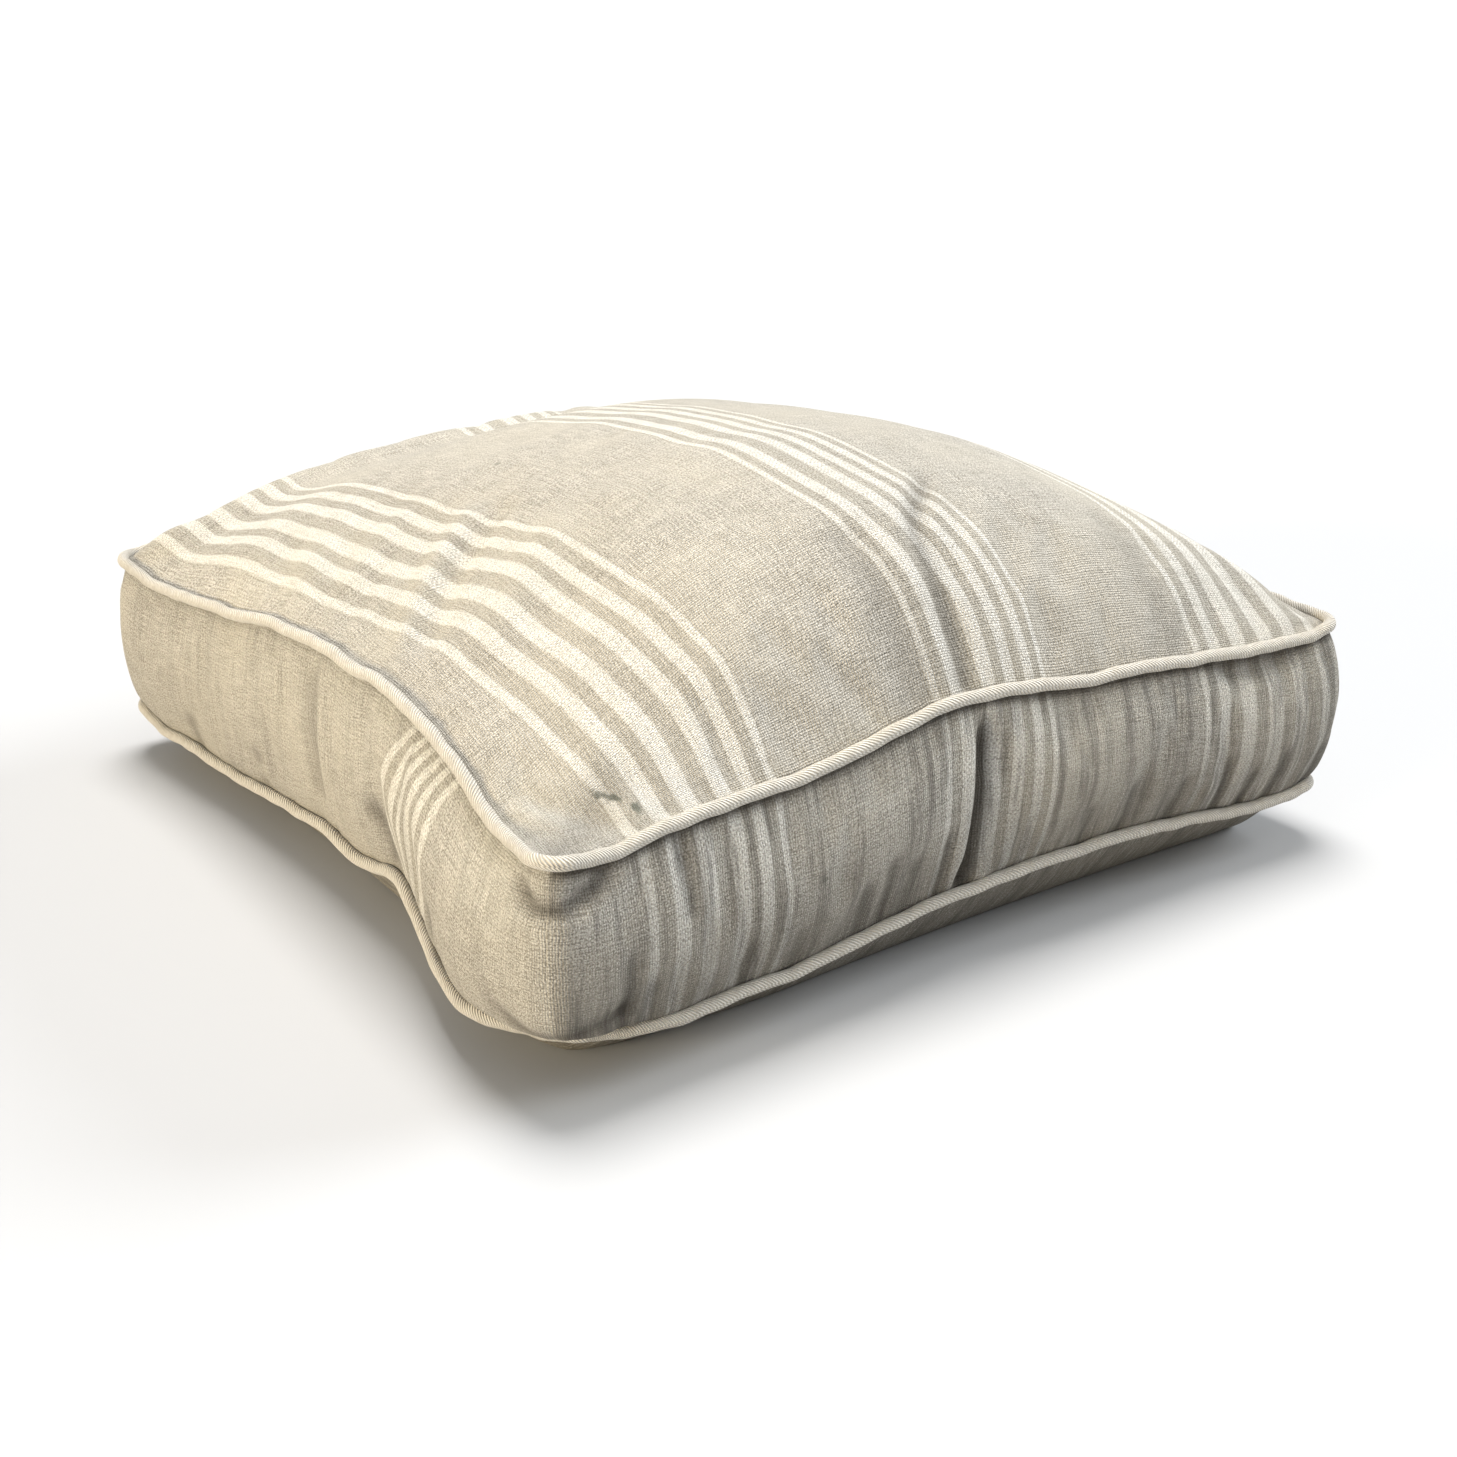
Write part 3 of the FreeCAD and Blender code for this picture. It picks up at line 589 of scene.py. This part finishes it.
def pipe(level, radius, waver=1.0):
    """A shape for cloth_grid: a closed tube beside the seam, of that radius in mm."""
    def shape(u, v):
        step = np.round((u + 1) * 2 * PIPE_STEPS).astype(int)
        number = np.minimum(step // PIPE_STEPS, 3)
        t = 2 * (step - number * PIPE_STEPS) / PIPE_STEPS - 1
        line = np.zeros((len(u), 3))
        for i, side in enumerate(SIDES):
            line[number == i] = seam(level, side, t[number == i])
        ahead, behind = np.zeros_like(line), np.zeros_like(line)
        for i, side in enumerate(SIDES):
            on = number == i
            ahead[on] = seam(level, side, np.clip(t[on] + 0.01, -1, 1))
            behind[on] = seam(level, side, np.clip(t[on] - 0.01, -1, 1))
        run = ahead - behind
        corner = np.abs(t) > 0.999
        diagonal = np.stack([np.sign(-line[:, 1]), np.sign(line[:, 0]), 0 * t], -1)
        run[corner] = diagonal[corner]
        run /= np.linalg.norm(run, axis=1, keepdims=True)
        out = np.cross(run, [0, 0, 1.0])
        out /= np.linalg.norm(out, axis=1, keepdims=True)
        up = np.cross(out, run)
        turn = 2 * math.pi * step / (4 * PIPE_STEPS)
        wave = waver * (0.5 * np.sin(37 * turn) + 0.35 * np.sin(61 * turn + 2) + 0.3 * np.sin(97 * turn + 4))
        centre = line + out * BESIDE + up * ((1.0 if level == "top" else -1.0) + wave[:, None] * 0.7)
        angle = math.pi * v
        thick = radius * (1 + 0.04 * waver * np.sin(53 * turn) * np.sin(29 * turn + 1))
        place = centre + thick[:, None] * (np.cos(angle)[:, None] * -out + np.sin(angle)[:, None] * -up)
        return place, np.stack([8 * HALF * (u + 1) / 2, radius * angle], -1)
    return shape


print("Piping in mm round the cushion:", 8 * HALF)


# %% [markdown]
# ## Colours and nodes
# Colours are written as on a paint card, in sRGB hex, and one function turns them to the linear light
# that Blender mixes. A material is a tree of nodes. One small function adds a node with its settings and
# links, and bound to a material's tree it reads almost like a formula.

# %% Colours
def colour(card):
    """A paint card's sRGB hex as linear light."""
    parts = [int(card[i:i + 2], 16) / 255 for i in (1, 3, 5)]
    return (*[p / 12.92 if p <= 0.04045 else ((p + 0.055) / 1.055) ** 2.4 for p in parts], 1.0)


print("Oatmeal in linear light:", [round(c, 2) for c in colour("#dccfb2")[:3]])

# %% Nodes, and settings that many of them share
SOFT = {"interpolation_type": "SMOOTHSTEP"}
TWO_COLOURS = {"data_type": "RGBA", "out": 2}
FLAT_NOISE = {"noise_dimensions": "2D"}
TIMES, PLUS, LESS, TIMES_PLUS = ({"operation": word} for word in ("MULTIPLY", "ADD", "SUBTRACT", "MULTIPLY_ADD"))


def add_node(tree, kind, *values, out=0, **settings):
    """Adds a node and returns its output called out. Its inputs are given in order, or by name in one dict, as
    plain values or as the outputs to link from."""
    made = tree.nodes.new("ShaderNode" + kind)
    for name, value in settings.items():
        setattr(made, name, value)
    named = values[0] if values and isinstance(values[0], dict) else dict(enumerate(values))
    for name, value in named.items():
        if isinstance(value, bpy.types.NodeSocket):
            tree.links.new(value, made.inputs[name])
        else:
            made.inputs[name].default_value = value
    return made.outputs[out] if made.outputs else made


def new_material(name):
    """An empty material, and add_node bound to its tree."""
    material = bpy.data.materials.new(name)
    material.use_nodes = True
    material.node_tree.nodes.clear()
    return material, partial(add_node, material.node_tree)


def surface(add, finish):
    """The one shader of a material, with this finish, and its output."""
    add("OutputMaterial", add("BsdfPrincipled", finish))


print("A material starts empty:", len(new_material("Blank")[0].node_tree.nodes), "nodes")
bpy.data.materials.remove(bpy.data.materials["Blank"])

# %% [markdown]
# ## Linen
# The cover is rough homespun linen: uneven threads in a plain weave, oatmeal for the ground and bleached
# for the stripes. The eye sees flecks, because a thread swells and thins along its length. The weave
# could be modelled thread by thread, but that is hundreds of thousands of threads. Two crossed waves give
# the same light and shade, and noise drawn out along each thread gives the flecks.

# %% The weave
THREAD = 0.0016  # metres; the real threads are about 0.8 mm apart, and are drawn coarser so that they show


def slubs(add, place, stretch, scale, detail=3.0):
    """Noise drawn out along one thread direction."""
    long = add("Mapping", {"Vector": place, "Scale": stretch})
    return add("TexNoise", {"Vector": long, "Scale": scale, "Detail": detail, "Roughness": 0.6}, **FLAT_NOISE)


def plain_weave(add, thread):
    """The threads of a plain weave: where they run, which one lies on top, and how high the cloth is."""
    place = add("UVMap", uv_map="weave")
    waver = add("TexNoise", {"Vector": place, "Scale": 60.0, "Detail": 2.0}, out="Color", **FLAT_NOISE)
    shift = add("VectorMath", waver, (0.5, 0.5, 0.5), **LESS)
    small = add("VectorMath", {0: shift, "Scale": 0.0022}, operation="SCALE")
    moved = add("VectorMath", place, small, **PLUS)
    turns = [add("Math", add("SeparateXYZ", moved, out=i), math.pi / thread, **TIMES) for i in (0, 1)]
    cross = add("Math", *[add("Math", turn, operation="SINE") for turn in turns], **TIMES)
    height = add("Math", add("Math", cross, operation="ABSOLUTE"), 0.6, operation="POWER")
    return moved, cross, height


print("Thread spacing in mm:", THREAD * 1000)

# %% The oatmeal ground
LINEN_DARK, LINEN_LIGHT, LINEN_GAP, LINEN_CLOUD = "#8b867c", "#d9d4ca", "#6a655b", "#cdc6b6"


def oatmeal(add, place, over, height):
    """The ground's colour, the tone of its threads, and the tone of the warp alone."""
    warp = slubs(add, place, (1.0, 0.06, 1.0), 700.0)
    weft = slubs(add, place, (0.06, 1.0, 1.0), 700.0)
    fibre = add("TexNoise", {"Vector": place, "Scale": 900.0, "Detail": 2.0}, **FLAT_NOISE)
    cloudy = add("TexNoise", {"Vector": add("TexCoord", out="Object"), "Scale": 9.0, "Detail": 3.0})
    thread = add("Mix", {0: over, 2: weft, 3: warp}, data_type="FLOAT")
    thread = add("Math", fibre, 0.9, add("Math", thread, 0.75, -0.32, **TIMES_PLUS), **TIMES_PLUS)
    light = add("MapRange", thread, 0.25, 0.75, 0.0, 1.0, **SOFT)
    ground = add("Mix", {0: light, 6: colour(LINEN_DARK), 7: colour(LINEN_LIGHT)}, **TWO_COLOURS)
    gap = add("MapRange", height, 0.0, 0.55, 0.35, 0.0, **SOFT)
    ground = add("Mix", {0: gap, 6: ground, 7: colour(LINEN_GAP)}, **TWO_COLOURS)
    cloud = add("MapRange", cloudy, 0.35, 0.7, 0.0, 0.3, **SOFT)
    return add("Mix", {0: cloud, 6: ground, 7: colour(LINEN_CLOUD)}, **TWO_COLOURS), thread, warp


print("Darkest and lightest thread:", LINEN_DARK, LINEN_LIGHT)

# %% The woven stripes
BANDS = ((0.0092, 0.0046), (0.0275, 0.0046), (0.0452, 0.0027))  # middle and half width in metres, on both sides
STRIPE_DARK, STRIPE_LIGHT, STRIPE_BETWEEN = "#b6b1a7", "#efece4", "#e2e0da"


def woven_stripes(add, ground, thread, over):
    """Bleached warp threads in groups. The map called loom says where each point lies across the loom."""
    where = add("SeparateXYZ", add("UVMap", uv_map="loom"))
    group = add("Math", add("Math", where, STRIPE_PITCH / 1000 * 20, **PLUS), STRIPE_PITCH / 2000,
                operation="PINGPONG")
    stripes = 0.0
    for middle, half in BANDS:
        off = add("Math", add("Math", group, middle, **LESS), operation="ABSOLUTE")
        band = add("MapRange", off, half + 0.0012, half - 0.0008, 0.0, 1.0, **SOFT)
        stripes = add("Math", stripes, band, operation="MAXIMUM")
    between = add("MapRange", group, 0.053, 0.046, 0.0, 0.35, **SOFT)
    shaded = add("Mix", {0: 1.0, 6: ground, 7: colour(STRIPE_BETWEEN)}, blend_type="MULTIPLY", **TWO_COLOURS)
    ground = add("Mix", {0: between, 6: ground, 7: shaded}, **TWO_COLOURS)
    light = add("MapRange", thread, 0.2, 0.7, 0.0, 1.0, **SOFT)
    cream = add("Mix", {0: light, 6: colour(STRIPE_DARK), 7: colour(STRIPE_LIGHT)}, **TWO_COLOURS)
    share = add("Math", stripes, add("MapRange", over, 0.0, 1.0, 0.55, 0.97, **SOFT), **TIMES)
    return add("Mix", {0: share, 6: ground, 7: cream}, **TWO_COLOURS), stripes


print("A group of stripes is", round(2000 * (BANDS[-1][0] + BANDS[-1][1])), "mm wide")

# %% Stains
STAINS = (
    # place on the panel, half length and half width in metres, turn, and strength
    (-0.244, -0.270, 0.013, 0.0028, 2.2, 0.75),
    (-0.236, -0.283, 0.006, 0.0035, 2.1, 0.8),
    (-0.130, 0.055, 0.003, 0.003, 0.0, 0.5),
)


def stained(add, ground):
    """The ground with ragged dark stains, placed by the map called pattern."""
    spot = add("UVMap", uv_map="pattern")
    ragged = add("TexNoise", {"Vector": spot, "Scale": 150.0, "Detail": 1.0}, **FLAT_NOISE)
    for x, y, long, wide, turn, strength in STAINS:
        local = add("Mapping", {"Vector": spot, "Location": (x, y, 0), "Rotation": (0, 0, turn),
                                "Scale": (long, wide, 1.0)}, vector_type="TEXTURE")
        size = add("VectorMath", local, operation="LENGTH", out="Value")
        edge = add("Math", ragged, 1.6, add("Math", size, 0.8, **LESS), **TIMES_PLUS)
        share = add("MapRange", edge, 0.9, 0.3, 0.0, strength, **SOFT)
        ground = add("Mix", {0: share, 6: ground, 7: colour("#5d6258")}, **TWO_COLOURS)
    return ground


print(len(STAINS), "stains")

# %% Painted shade towards the floor, in streaks and in the folds
def with_painted_shade(add, ground, warp):
    """Painted shade: darker towards the floor, in streaks where the band is drawn into its seams, and in the
    folds and under the piping.
    """
    painted_shade_share = add("Attribute", attribute_name="painted_shade_share", out="Fac")
    low = add("SeparateXYZ", add("TexCoord", out="Object"), out=2)
    # Painted shade: darker towards the floor and on the belly
    painted_low_shade = add("Math", add("MapRange", low, 0.14, 0.03, 0.0, 1.0, **SOFT),
               add("MapRange", warp, 0.1, 0.65, 0.0, 1.0, **SOFT), **TIMES)
    painted_low_shade = add("Math", add("Math", painted_low_shade, painted_shade_share, **TIMES), 0.75, **TIMES)
    ground = add("Mix", {0: painted_low_shade, 6: ground, 7: colour("#625d54")}, **TWO_COLOURS)
    # Painted shade: streaks of the tension folds where the band is drawn into its seams
    drawn = add("Mapping", {"Vector": add("UVMap", uv_map="pattern"), "Scale": (1.0, 0.09, 1.0)})
    painted_fold_streak = add("TexNoise", {"Vector": drawn, "Scale": 95.0, "Detail": 5.0, "Roughness": 0.75}, **FLAT_NOISE)
    painted_fold_streak = add("Math", add("MapRange", painted_fold_streak, 0.45, 0.7, 0.0, 1.0, **SOFT), painted_shade_share, **TIMES)
    ground = add("Mix", {0: add("Math", painted_fold_streak, 0.58, **TIMES), 6: ground, 7: colour("#5f5b55")}, **TWO_COLOURS)
    # Painted shade in the folds and under the piping
    painted_crease_shade = add("Math", add("Attribute", attribute_name="crease", out="Fac"), 0.85, **TIMES)
    return add("Mix", {0: painted_crease_shade, 6: ground, 7: colour("#3d3832")}, **TWO_COLOURS)


# %% The two linens
def linen(name, striped):
    """Homespun linen, rough and matt, with or without its stripes."""
    material, add = new_material(name)
    place, cross, height = plain_weave(add, THREAD)
    over = add("MapRange", cross, -0.25, 0.25, 0.0, 1.0, **SOFT)
    ground, thread, warp = oatmeal(add, place, over, height)
    bump = add("Math", thread, 0.9, height, **TIMES_PLUS)
    if striped:
        ground, stripes = woven_stripes(add, ground, thread, over)
        bump = add("Math", stripes, 0.4, bump, **TIMES_PLUS)
        ground = stained(add, ground)
    surface(add, {"Base Color": with_painted_shade(add, ground, warp), "Roughness": 0.95, "Specular IOR Level": 0.15,
                  "Normal": add("Bump", {"Height": bump, "Strength": 0.75, "Distance": 0.0009})})
    print(name, "has", len(material.node_tree.nodes), "nodes")
    return material


striped_linen = linen("Striped_homespun_linen", True)
plain_linen = linen("Plain_homespun_linen", False)

# %% [markdown]
# ## Cutting the skin into its pieces
# Now the faces of each piece are copied out of the skin. Subdivision rounds the cloth between its
# points, and Solidify gives it the 0.8 mm of real linen, inwards.

# %% Cut, round and thicken
def finish_piece(mesh, name, material, thick=0.0008, rounds=1):
    """An object from a mesh, with its finish, its roundness and its thickness, that rides on the cushion."""
    mesh.materials.clear()
    mesh.materials.append(material)
    mesh.polygons.foreach_set("material_index", np.zeros(len(mesh.polygons), np.int32))
    mesh.polygons.foreach_set("use_smooth", np.ones(len(mesh.polygons), bool))
    piece = bpy.data.objects.new(name, mesh)
    bpy.context.scene.collection.objects.link(piece)
    if rounds:
        soft = piece.modifiers.new("Rounding", "SUBSURF")
        soft.levels = soft.render_levels = rounds
    if thick:
        wall = piece.modifiers.new("Cloth thickness", "SOLIDIFY")
        wall.thickness, wall.offset = thick, -1
    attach(piece, "cushion")
    return piece


def cut_out(numbers, name, skin_mesh):
    """The faces of a skin with these piece numbers, as a mesh of their own."""
    bm = bmesh.new()
    bm.from_mesh(skin_mesh)
    rest = [f for f in bm.faces if f.material_index not in numbers]
    bmesh.ops.delete(bm, geom=rest, context="FACES")
    mesh = bpy.data.meshes.new(name)
    bm.to_mesh(mesh)
    bm.free()
    return mesh


for number, name in enumerate(PIECES[:7]):
    striped = name in ("top_panel", "front_boxing", "back_boxing_upper", "back_boxing_lower")
    material, slot = (striped_linen, "striped_linen") if striped else (plain_linen, "plain_linen")
    piece = finish_piece(cut_out((number,), name, cover_mesh), "cover_" + name, material)
    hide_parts(name)
    print(piece.name, len(piece.data.polygons), "faces")

# %% [markdown]
# ## The piping's cloth
# Cream cotton twill, cut on the bias so that it bends round corners. Its slanting ribs wind round the
# cord, and that is what the eye sees. Carved ribs would cost a great many faces for half a millimetre, so
# they are a bump along a slanted wave.

# %% Twill
TWILL_RIB = 0.0024  # metres; the real ribs are about 0.8 mm apart, and are drawn coarser so that they show


def twill(name):
    """Cream bias-cut cotton twill, soft and matt."""
    material, add = new_material(name)
    place = add("UVMap", uv_map="pattern")
    slant = add("Math", add("SeparateXYZ", place), add("SeparateXYZ", place, out=1), **PLUS)
    rib = add("Math", add("Math", slant, 2 * math.pi / TWILL_RIB, **TIMES), operation="SINE")
    light = add("MapRange", rib, -1.0, 0.6, 0.0, 1.0, **SOFT)
    cream = add("Mix", {0: light, 6: colour("#b3ada2"), 7: colour("#e6e1d7")}, **TWO_COLOURS)
    tone = add("MapRange", slubs(add, place, (1.0, 1.0, 1.0), 180.0), 0.35, 0.7, 0.0, 0.6, **SOFT)
    cream = add("Mix", {0: tone, 6: cream, 7: colour("#c4bdb0")}, **TWO_COLOURS)
    surface(add, {"Base Color": cream, "Roughness": 0.9, "Specular IOR Level": 0.25,
                  "Normal": add("Bump", {"Height": rib, "Strength": 0.8, "Distance": 0.0006})})
    print(name, "ribs in mm:", TWILL_RIB * 1000)
    return material


def welded(mesh):
    """The same mesh with its ends joined, where a tube meets itself."""
    bm = bmesh.new()
    bm.from_mesh(mesh)
    bmesh.ops.remove_doubles(bm, verts=bm.verts, dist=0.00005)
    bm.to_mesh(mesh)
    bm.free()
    return mesh


piping_cloth = twill("Cream_cotton_twill")
for level_name in ("top", "bottom"):
    tube = welded(cloth_grid(level_name + "_piping", 4 * PIPE_STEPS, AROUND, pipe(level_name, 4.0)))
    piece = finish_piece(tube, f"{level_name}_piping_cloth", piping_cloth, rounds=0)
    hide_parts(f"{level_name}_piping_cover")
    print(piece.name, len(tube.polygons), "faces")

# %% [markdown]
# ## The inside
# Inside the cover are the piping's cords, the calico case and its filling. They don't show, but they are
# real pieces, so they follow the creased skin instead of the plain shape it began as: each is the skin
# again, drawn inwards along its normals.

# %% Fine even cloth
def plain_cloth(name, dark, light, spacing, rough=0.92):
    """A fine even cloth or fibre: two tones in threads of the spacing given, in metres."""
    material, add = new_material(name)
    threads = add("TexNoise", {"Vector": add("TexCoord", out="Object"), "Scale": 0.6 / spacing, "Detail": 3.0})
    share = add("MapRange", threads, 0.3, 0.7, 0.0, 1.0, **SOFT)
    tint = add("Mix", {0: share, 6: colour(dark), 7: colour(light)}, **TWO_COLOURS)
    surface(add, {"Base Color": tint, "Roughness": rough,
                  "Normal": add("Bump", {"Height": threads, "Strength": 0.4, "Distance": spacing / 3})})
    print(name, "threads in mm:", round(spacing * 1000, 1))
    return material


calico = plain_cloth("Unbleached_calico", "#d8cfba", "#f0e9d8", 0.0008)
wadding = plain_cloth("Feather_and_fibre", "#e4e1d8", "#fbfaf6", 0.003)
cotton = plain_cloth("Bleached_cotton_cord", "#d5cfc0", "#f2efe6", 0.001)


def drawn_in(mesh, depth):
    """The same skin, moved inwards by depth in metres."""
    bm = bmesh.new()
    bm.from_mesh(mesh)
    bm.normal_update()
    inner = [(p, p.co - p.normal * depth) for p in bm.verts]
    for p, co in inner:
        p.co = co
    for _ in range(3):
        bmesh.ops.smooth_vert(bm, verts=bm.verts, factor=0.5, use_axis_x=True, use_axis_y=True, use_axis_z=True)
    made = bpy.data.meshes.new("drawn_in")
    bm.to_mesh(made)
    bm.free()
    return made


case_mesh = drawn_in(cover_mesh, 0.0055)
for name, numbers in (("inner_case_top", (0,)), ("inner_case_bottom", (1,)),
                      ("inner_case_boxing", (2, 3, 4, 5, 6, 7))):
    piece = finish_piece(cut_out(numbers, name, case_mesh), name + "_calico", calico, thick=0.0006,
                         rounds=0)
    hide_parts(name)
filling = finish_piece(drawn_in(cover_mesh, 0.0095), "feather_filling", wadding, thick=0, rounds=0)
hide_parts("fill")
for level_name in ("top", "bottom"):
    tube = welded(cloth_grid(level_name + "_cord", 4 * PIPE_STEPS, 12, pipe(level_name, 2.9)))
    piece = finish_piece(tube, level_name + "_cotton_cord", cotton, thick=0, rounds=0)
    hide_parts(level_name + "_piping_cord")
bpy.data.objects.remove(cover)

# %% [markdown]
# ## The zip
# The zip is a nylon coil: on each tape runs one spiral of stiff thread, and the two spirals hook into
# each other when the slider presses them together. Each spiral is a tube wound along the tape. The tape,
# stops, slider and pull are the CAD solids, which get a finish of their own.

# %% Two spirals and their stitching
COIL_PITCH, COIL_THREAD, COIL_STEPS, SIDES_OF_THREAD = 2.0, 0.36, 12, 6


def spiral(node, lean):
    """A shape for cloth_grid: a thread wound along the box of a CAD node, and how many turns it makes."""
    low, high = (np.array(c) * 1000 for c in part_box(node))
    middle, reach = (low + high) / 2, (high - low) / 2 - COIL_THREAD
    turns = int((high[0] - low[0] - 2) / COIL_PITCH)

    def shape(u, v):
        turn = (u + 1) * math.pi * turns
        wide, deep = reach[2] + 0.5, reach[1]
        centre = np.stack([low[0] + 1 + turn / (2 * math.pi) * COIL_PITCH + lean, middle[1] + deep * np.sin(turn),
                           middle[2] + wide * np.cos(turn)], -1)
        out = np.stack([0 * turn, np.sin(turn), np.cos(turn)], -1)
        angle = math.pi * v
        ring = np.cos(angle)[:, None] * out + np.sin(angle)[:, None] * np.array([1.0, 0, 0])
        return centre + COIL_THREAD * ring, np.stack([turn, angle], -1)
    return shape, turns


nylon = plain_cloth("Nylon_coil", "#c9c1ad", "#ddd6c5", 0.004, rough=0.45)
for part, lean in (("upper", 0.0), ("lower", 1.0)):
    shape, turns = spiral("zip_coil_" + part, lean)
    mesh = welded(cloth_grid("coil_" + part, turns * COIL_STEPS, SIDES_OF_THREAD, shape))
    piece = finish_piece(mesh, f"zip_spiral_{part}", nylon, thick=0, rounds=0)
    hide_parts("zip_coil_" + part)
    print(piece.name, turns, "turns")


def stitches(name, heights, length=3.2, gap=4.4):
    """Rows of short stitches along the back, lying on the cloth."""
    bm = bmesh.new()
    count = int(2 * (STRIP_END - 4) / gap)
    for height in heights:
        for i in range(count):
            x = -STRIP_END + 6 + i * gap
            y = HALF - PULLED_IN["top", "back"](-x) + 0.15
            made = bmesh.ops.create_uvsphere(bm, u_segments=6, v_segments=4, radius=1)["verts"]
            bmesh.ops.scale(bm, verts=made, vec=(length / 2000, 0.00035, 0.0004))
            bmesh.ops.translate(bm, verts=made, vec=(x / 1000, y / 1000, height / 1000))
    mesh = bpy.data.meshes.new(name)
    bm.to_mesh(mesh)
    bm.free()
    return mesh


rows = stitches("zip_stitching", (ZIP_LOW - 5, ZIP_HIGH + 5))
sewn = finish_piece(rows, "zip_stitching", cotton, thick=0, rounds=0)
print(sewn.name, len(rows.polygons), "faces")

# %% [markdown]
# ## The zip's tape and metal
# The tape is woven in a herringbone: a twill whose slant turns back every 2 mm. The slider, its pull and
# the stops are die-cast zinc with nickel plating, dulled by fingers, so the polish is uneven. These pieces
# are seen as the CAD solids they are, and only get a finish.

# %% Herringbone tape
TAPE_RIB = 0.0012  # metres
tape, add = new_material("Herringbone_zip_tape")
place = add("TexCoord", out="Object")
zigzag = add("Math", add("SeparateXYZ", place, out=2), 0.002, operation="PINGPONG")
slant = add("Math", add("SeparateXYZ", place), zigzag, **PLUS)
rib = add("Math", add("Math", slant, 2 * math.pi / TAPE_RIB, **TIMES), operation="SINE")
light = add("MapRange", rib, -1.0, 1.0, 0.0, 1.0, **SOFT)
surface(add, {"Base Color": add("Mix", {0: light, 6: colour("#b1a791"), 7: colour("#cfc6b2")}, **TWO_COLOURS),
              "Roughness": 0.85, "Normal": add("Bump", {"Height": rib, "Strength": 0.4, "Distance": 0.0002})})
print("Tape ribs in mm:", TAPE_RIB * 1000)

# %% Nickel
nickel, add = new_material("Nickel_plated_zinc")
dulled = add("TexNoise", {"Vector": add("TexCoord", out="Object"), "Scale": 700.0, "Detail": 4.0})
light = add("MapRange", dulled, 0.3, 0.7, 0.0, 1.0, **SOFT)
surface(add, {"Base Color": add("Mix", {0: light, 6: colour("#a8a39a"), 7: colour("#cfcbc3")}, **TWO_COLOURS),
              "Roughness": add("MapRange", dulled, 0.2, 0.8, 0.24, 0.42, **SOFT), "Metallic": 1.0})
for name, finish in (("zip_tape_upper", tape), ("zip_tape_lower", tape), ("zip_stops", nickel),
                     ("zip_slider", nickel), ("zip_pull", nickel)):
    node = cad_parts[name]
    node.data.materials.clear()
    node.data.materials.append(finish)
    print(name, "is finished in", finish.name)

# %% [markdown]
# ## Floor
# The cushion rests on a plain pale floor. A large disc has no edge in sight and one flat colour, so that
# it throws soft light up under the cushion and shows nothing but its shadow.

# %% Floor
FLOOR_RADIUS = 60
bm = bmesh.new()
bmesh.ops.create_circle(bm, cap_ends=True, segments=96, radius=FLOOR_RADIUS)
floor_mesh = bpy.data.meshes.new("floor")
bm.to_mesh(floor_mesh)
bm.free()
floor = bpy.data.objects.new("floor", floor_mesh)
bpy.context.scene.collection.objects.link(floor)
paint, add = new_material("Matt_white_paint")
surface(add, {"Base Color": colour("#bcbdbf"), "Roughness": 0.95})
floor_mesh.materials.append(paint)
print("Floor radius in m:", FLOOR_RADIUS)

# %% [markdown]
# ## Light
# Daylight comes from above, a warm lamp shines flat from the left, and a cooler light from the right
# grazes the front and shows its folds. Area lights would have to be aimed and kept out of sight. Far
# lights with a wide angle give the same soft edges. The sky adds a little light from everywhere, more from
# behind than from the front.

# %% Sky
world = bpy.data.worlds.new("Studio")
world.use_nodes = True
add = partial(add_node, world.node_tree)
facing = add("VectorMath", add("TexCoord"), (-0.45, 0.62, 0.64), operation="DOT_PRODUCT", out="Value")
sky = world.node_tree.nodes["Background"]
sky.inputs["Color"].default_value = (0.96, 0.98, 1.0, 1.0)
world.node_tree.links.new(add("MapRange", facing, -0.6, 0.95, 0.2, 0.5, **SOFT), sky.inputs["Strength"])
bpy.context.scene.world = world
print("Sky from", 0.2, "to", 0.5)

# %% Three far lights
def far_light(name, towards, strength, tint, softness):
    """A soft light from far away. towards points from the cushion to the light."""
    sun = bpy.data.lights.new(name, "SUN")
    sun.energy, sun.angle, sun.color = strength, math.radians(softness), tint
    holder = bpy.data.objects.new(name, sun)
    holder.rotation_mode = "QUATERNION"
    holder.rotation_quaternion = Vector(towards).to_track_quat("Z", "Y")
    bpy.context.scene.collection.objects.link(holder)
    print("Light", name, "of strength", strength)


far_light("window", (0.13, 0.2, 0.97), 3.75, (1.0, 0.975, 0.94), 26)
far_light("lamp", (-0.97, 0.04, 0.03), 6.0, (1.0, 0.84, 0.57), 34)
far_light("door", (0.87, -0.2, 0.45), 2.7, (0.93, 0.97, 1.0), 30)

# %% [markdown]
# ## Camera
# The camera looks down a little at the front left corner, from about one and a half metres away.

# %% Camera
AZIMUTH, ELEVATION, DISTANCE, ROLL = -0.5879, 0.3735, 1.4241, -0.0091
back = Vector((math.sin(AZIMUTH) * math.cos(ELEVATION), -math.cos(AZIMUTH) * math.cos(ELEVATION),
               math.sin(ELEVATION)))
lens = bpy.data.cameras.new("camera")
lens.lens, lens.sensor_width = 50.17, 36.0
lens.shift_x, lens.shift_y = 0.0543, -0.0452
camera = bpy.data.objects.new("camera", lens)
camera.rotation_mode = "QUATERNION"
camera.location = Vector((-0.0267, 0.0162, 0.0952)) + back * DISTANCE
camera.rotation_quaternion = back.to_track_quat("Z", "Y") @ Quaternion((0, 0, 1), ROLL)
bpy.context.scene.collection.objects.link(camera)
bpy.context.scene.camera = camera
bpy.context.scene.view_settings.view_transform = "Standard"
print("Camera at", [round(c, 2) for c in camera.location])
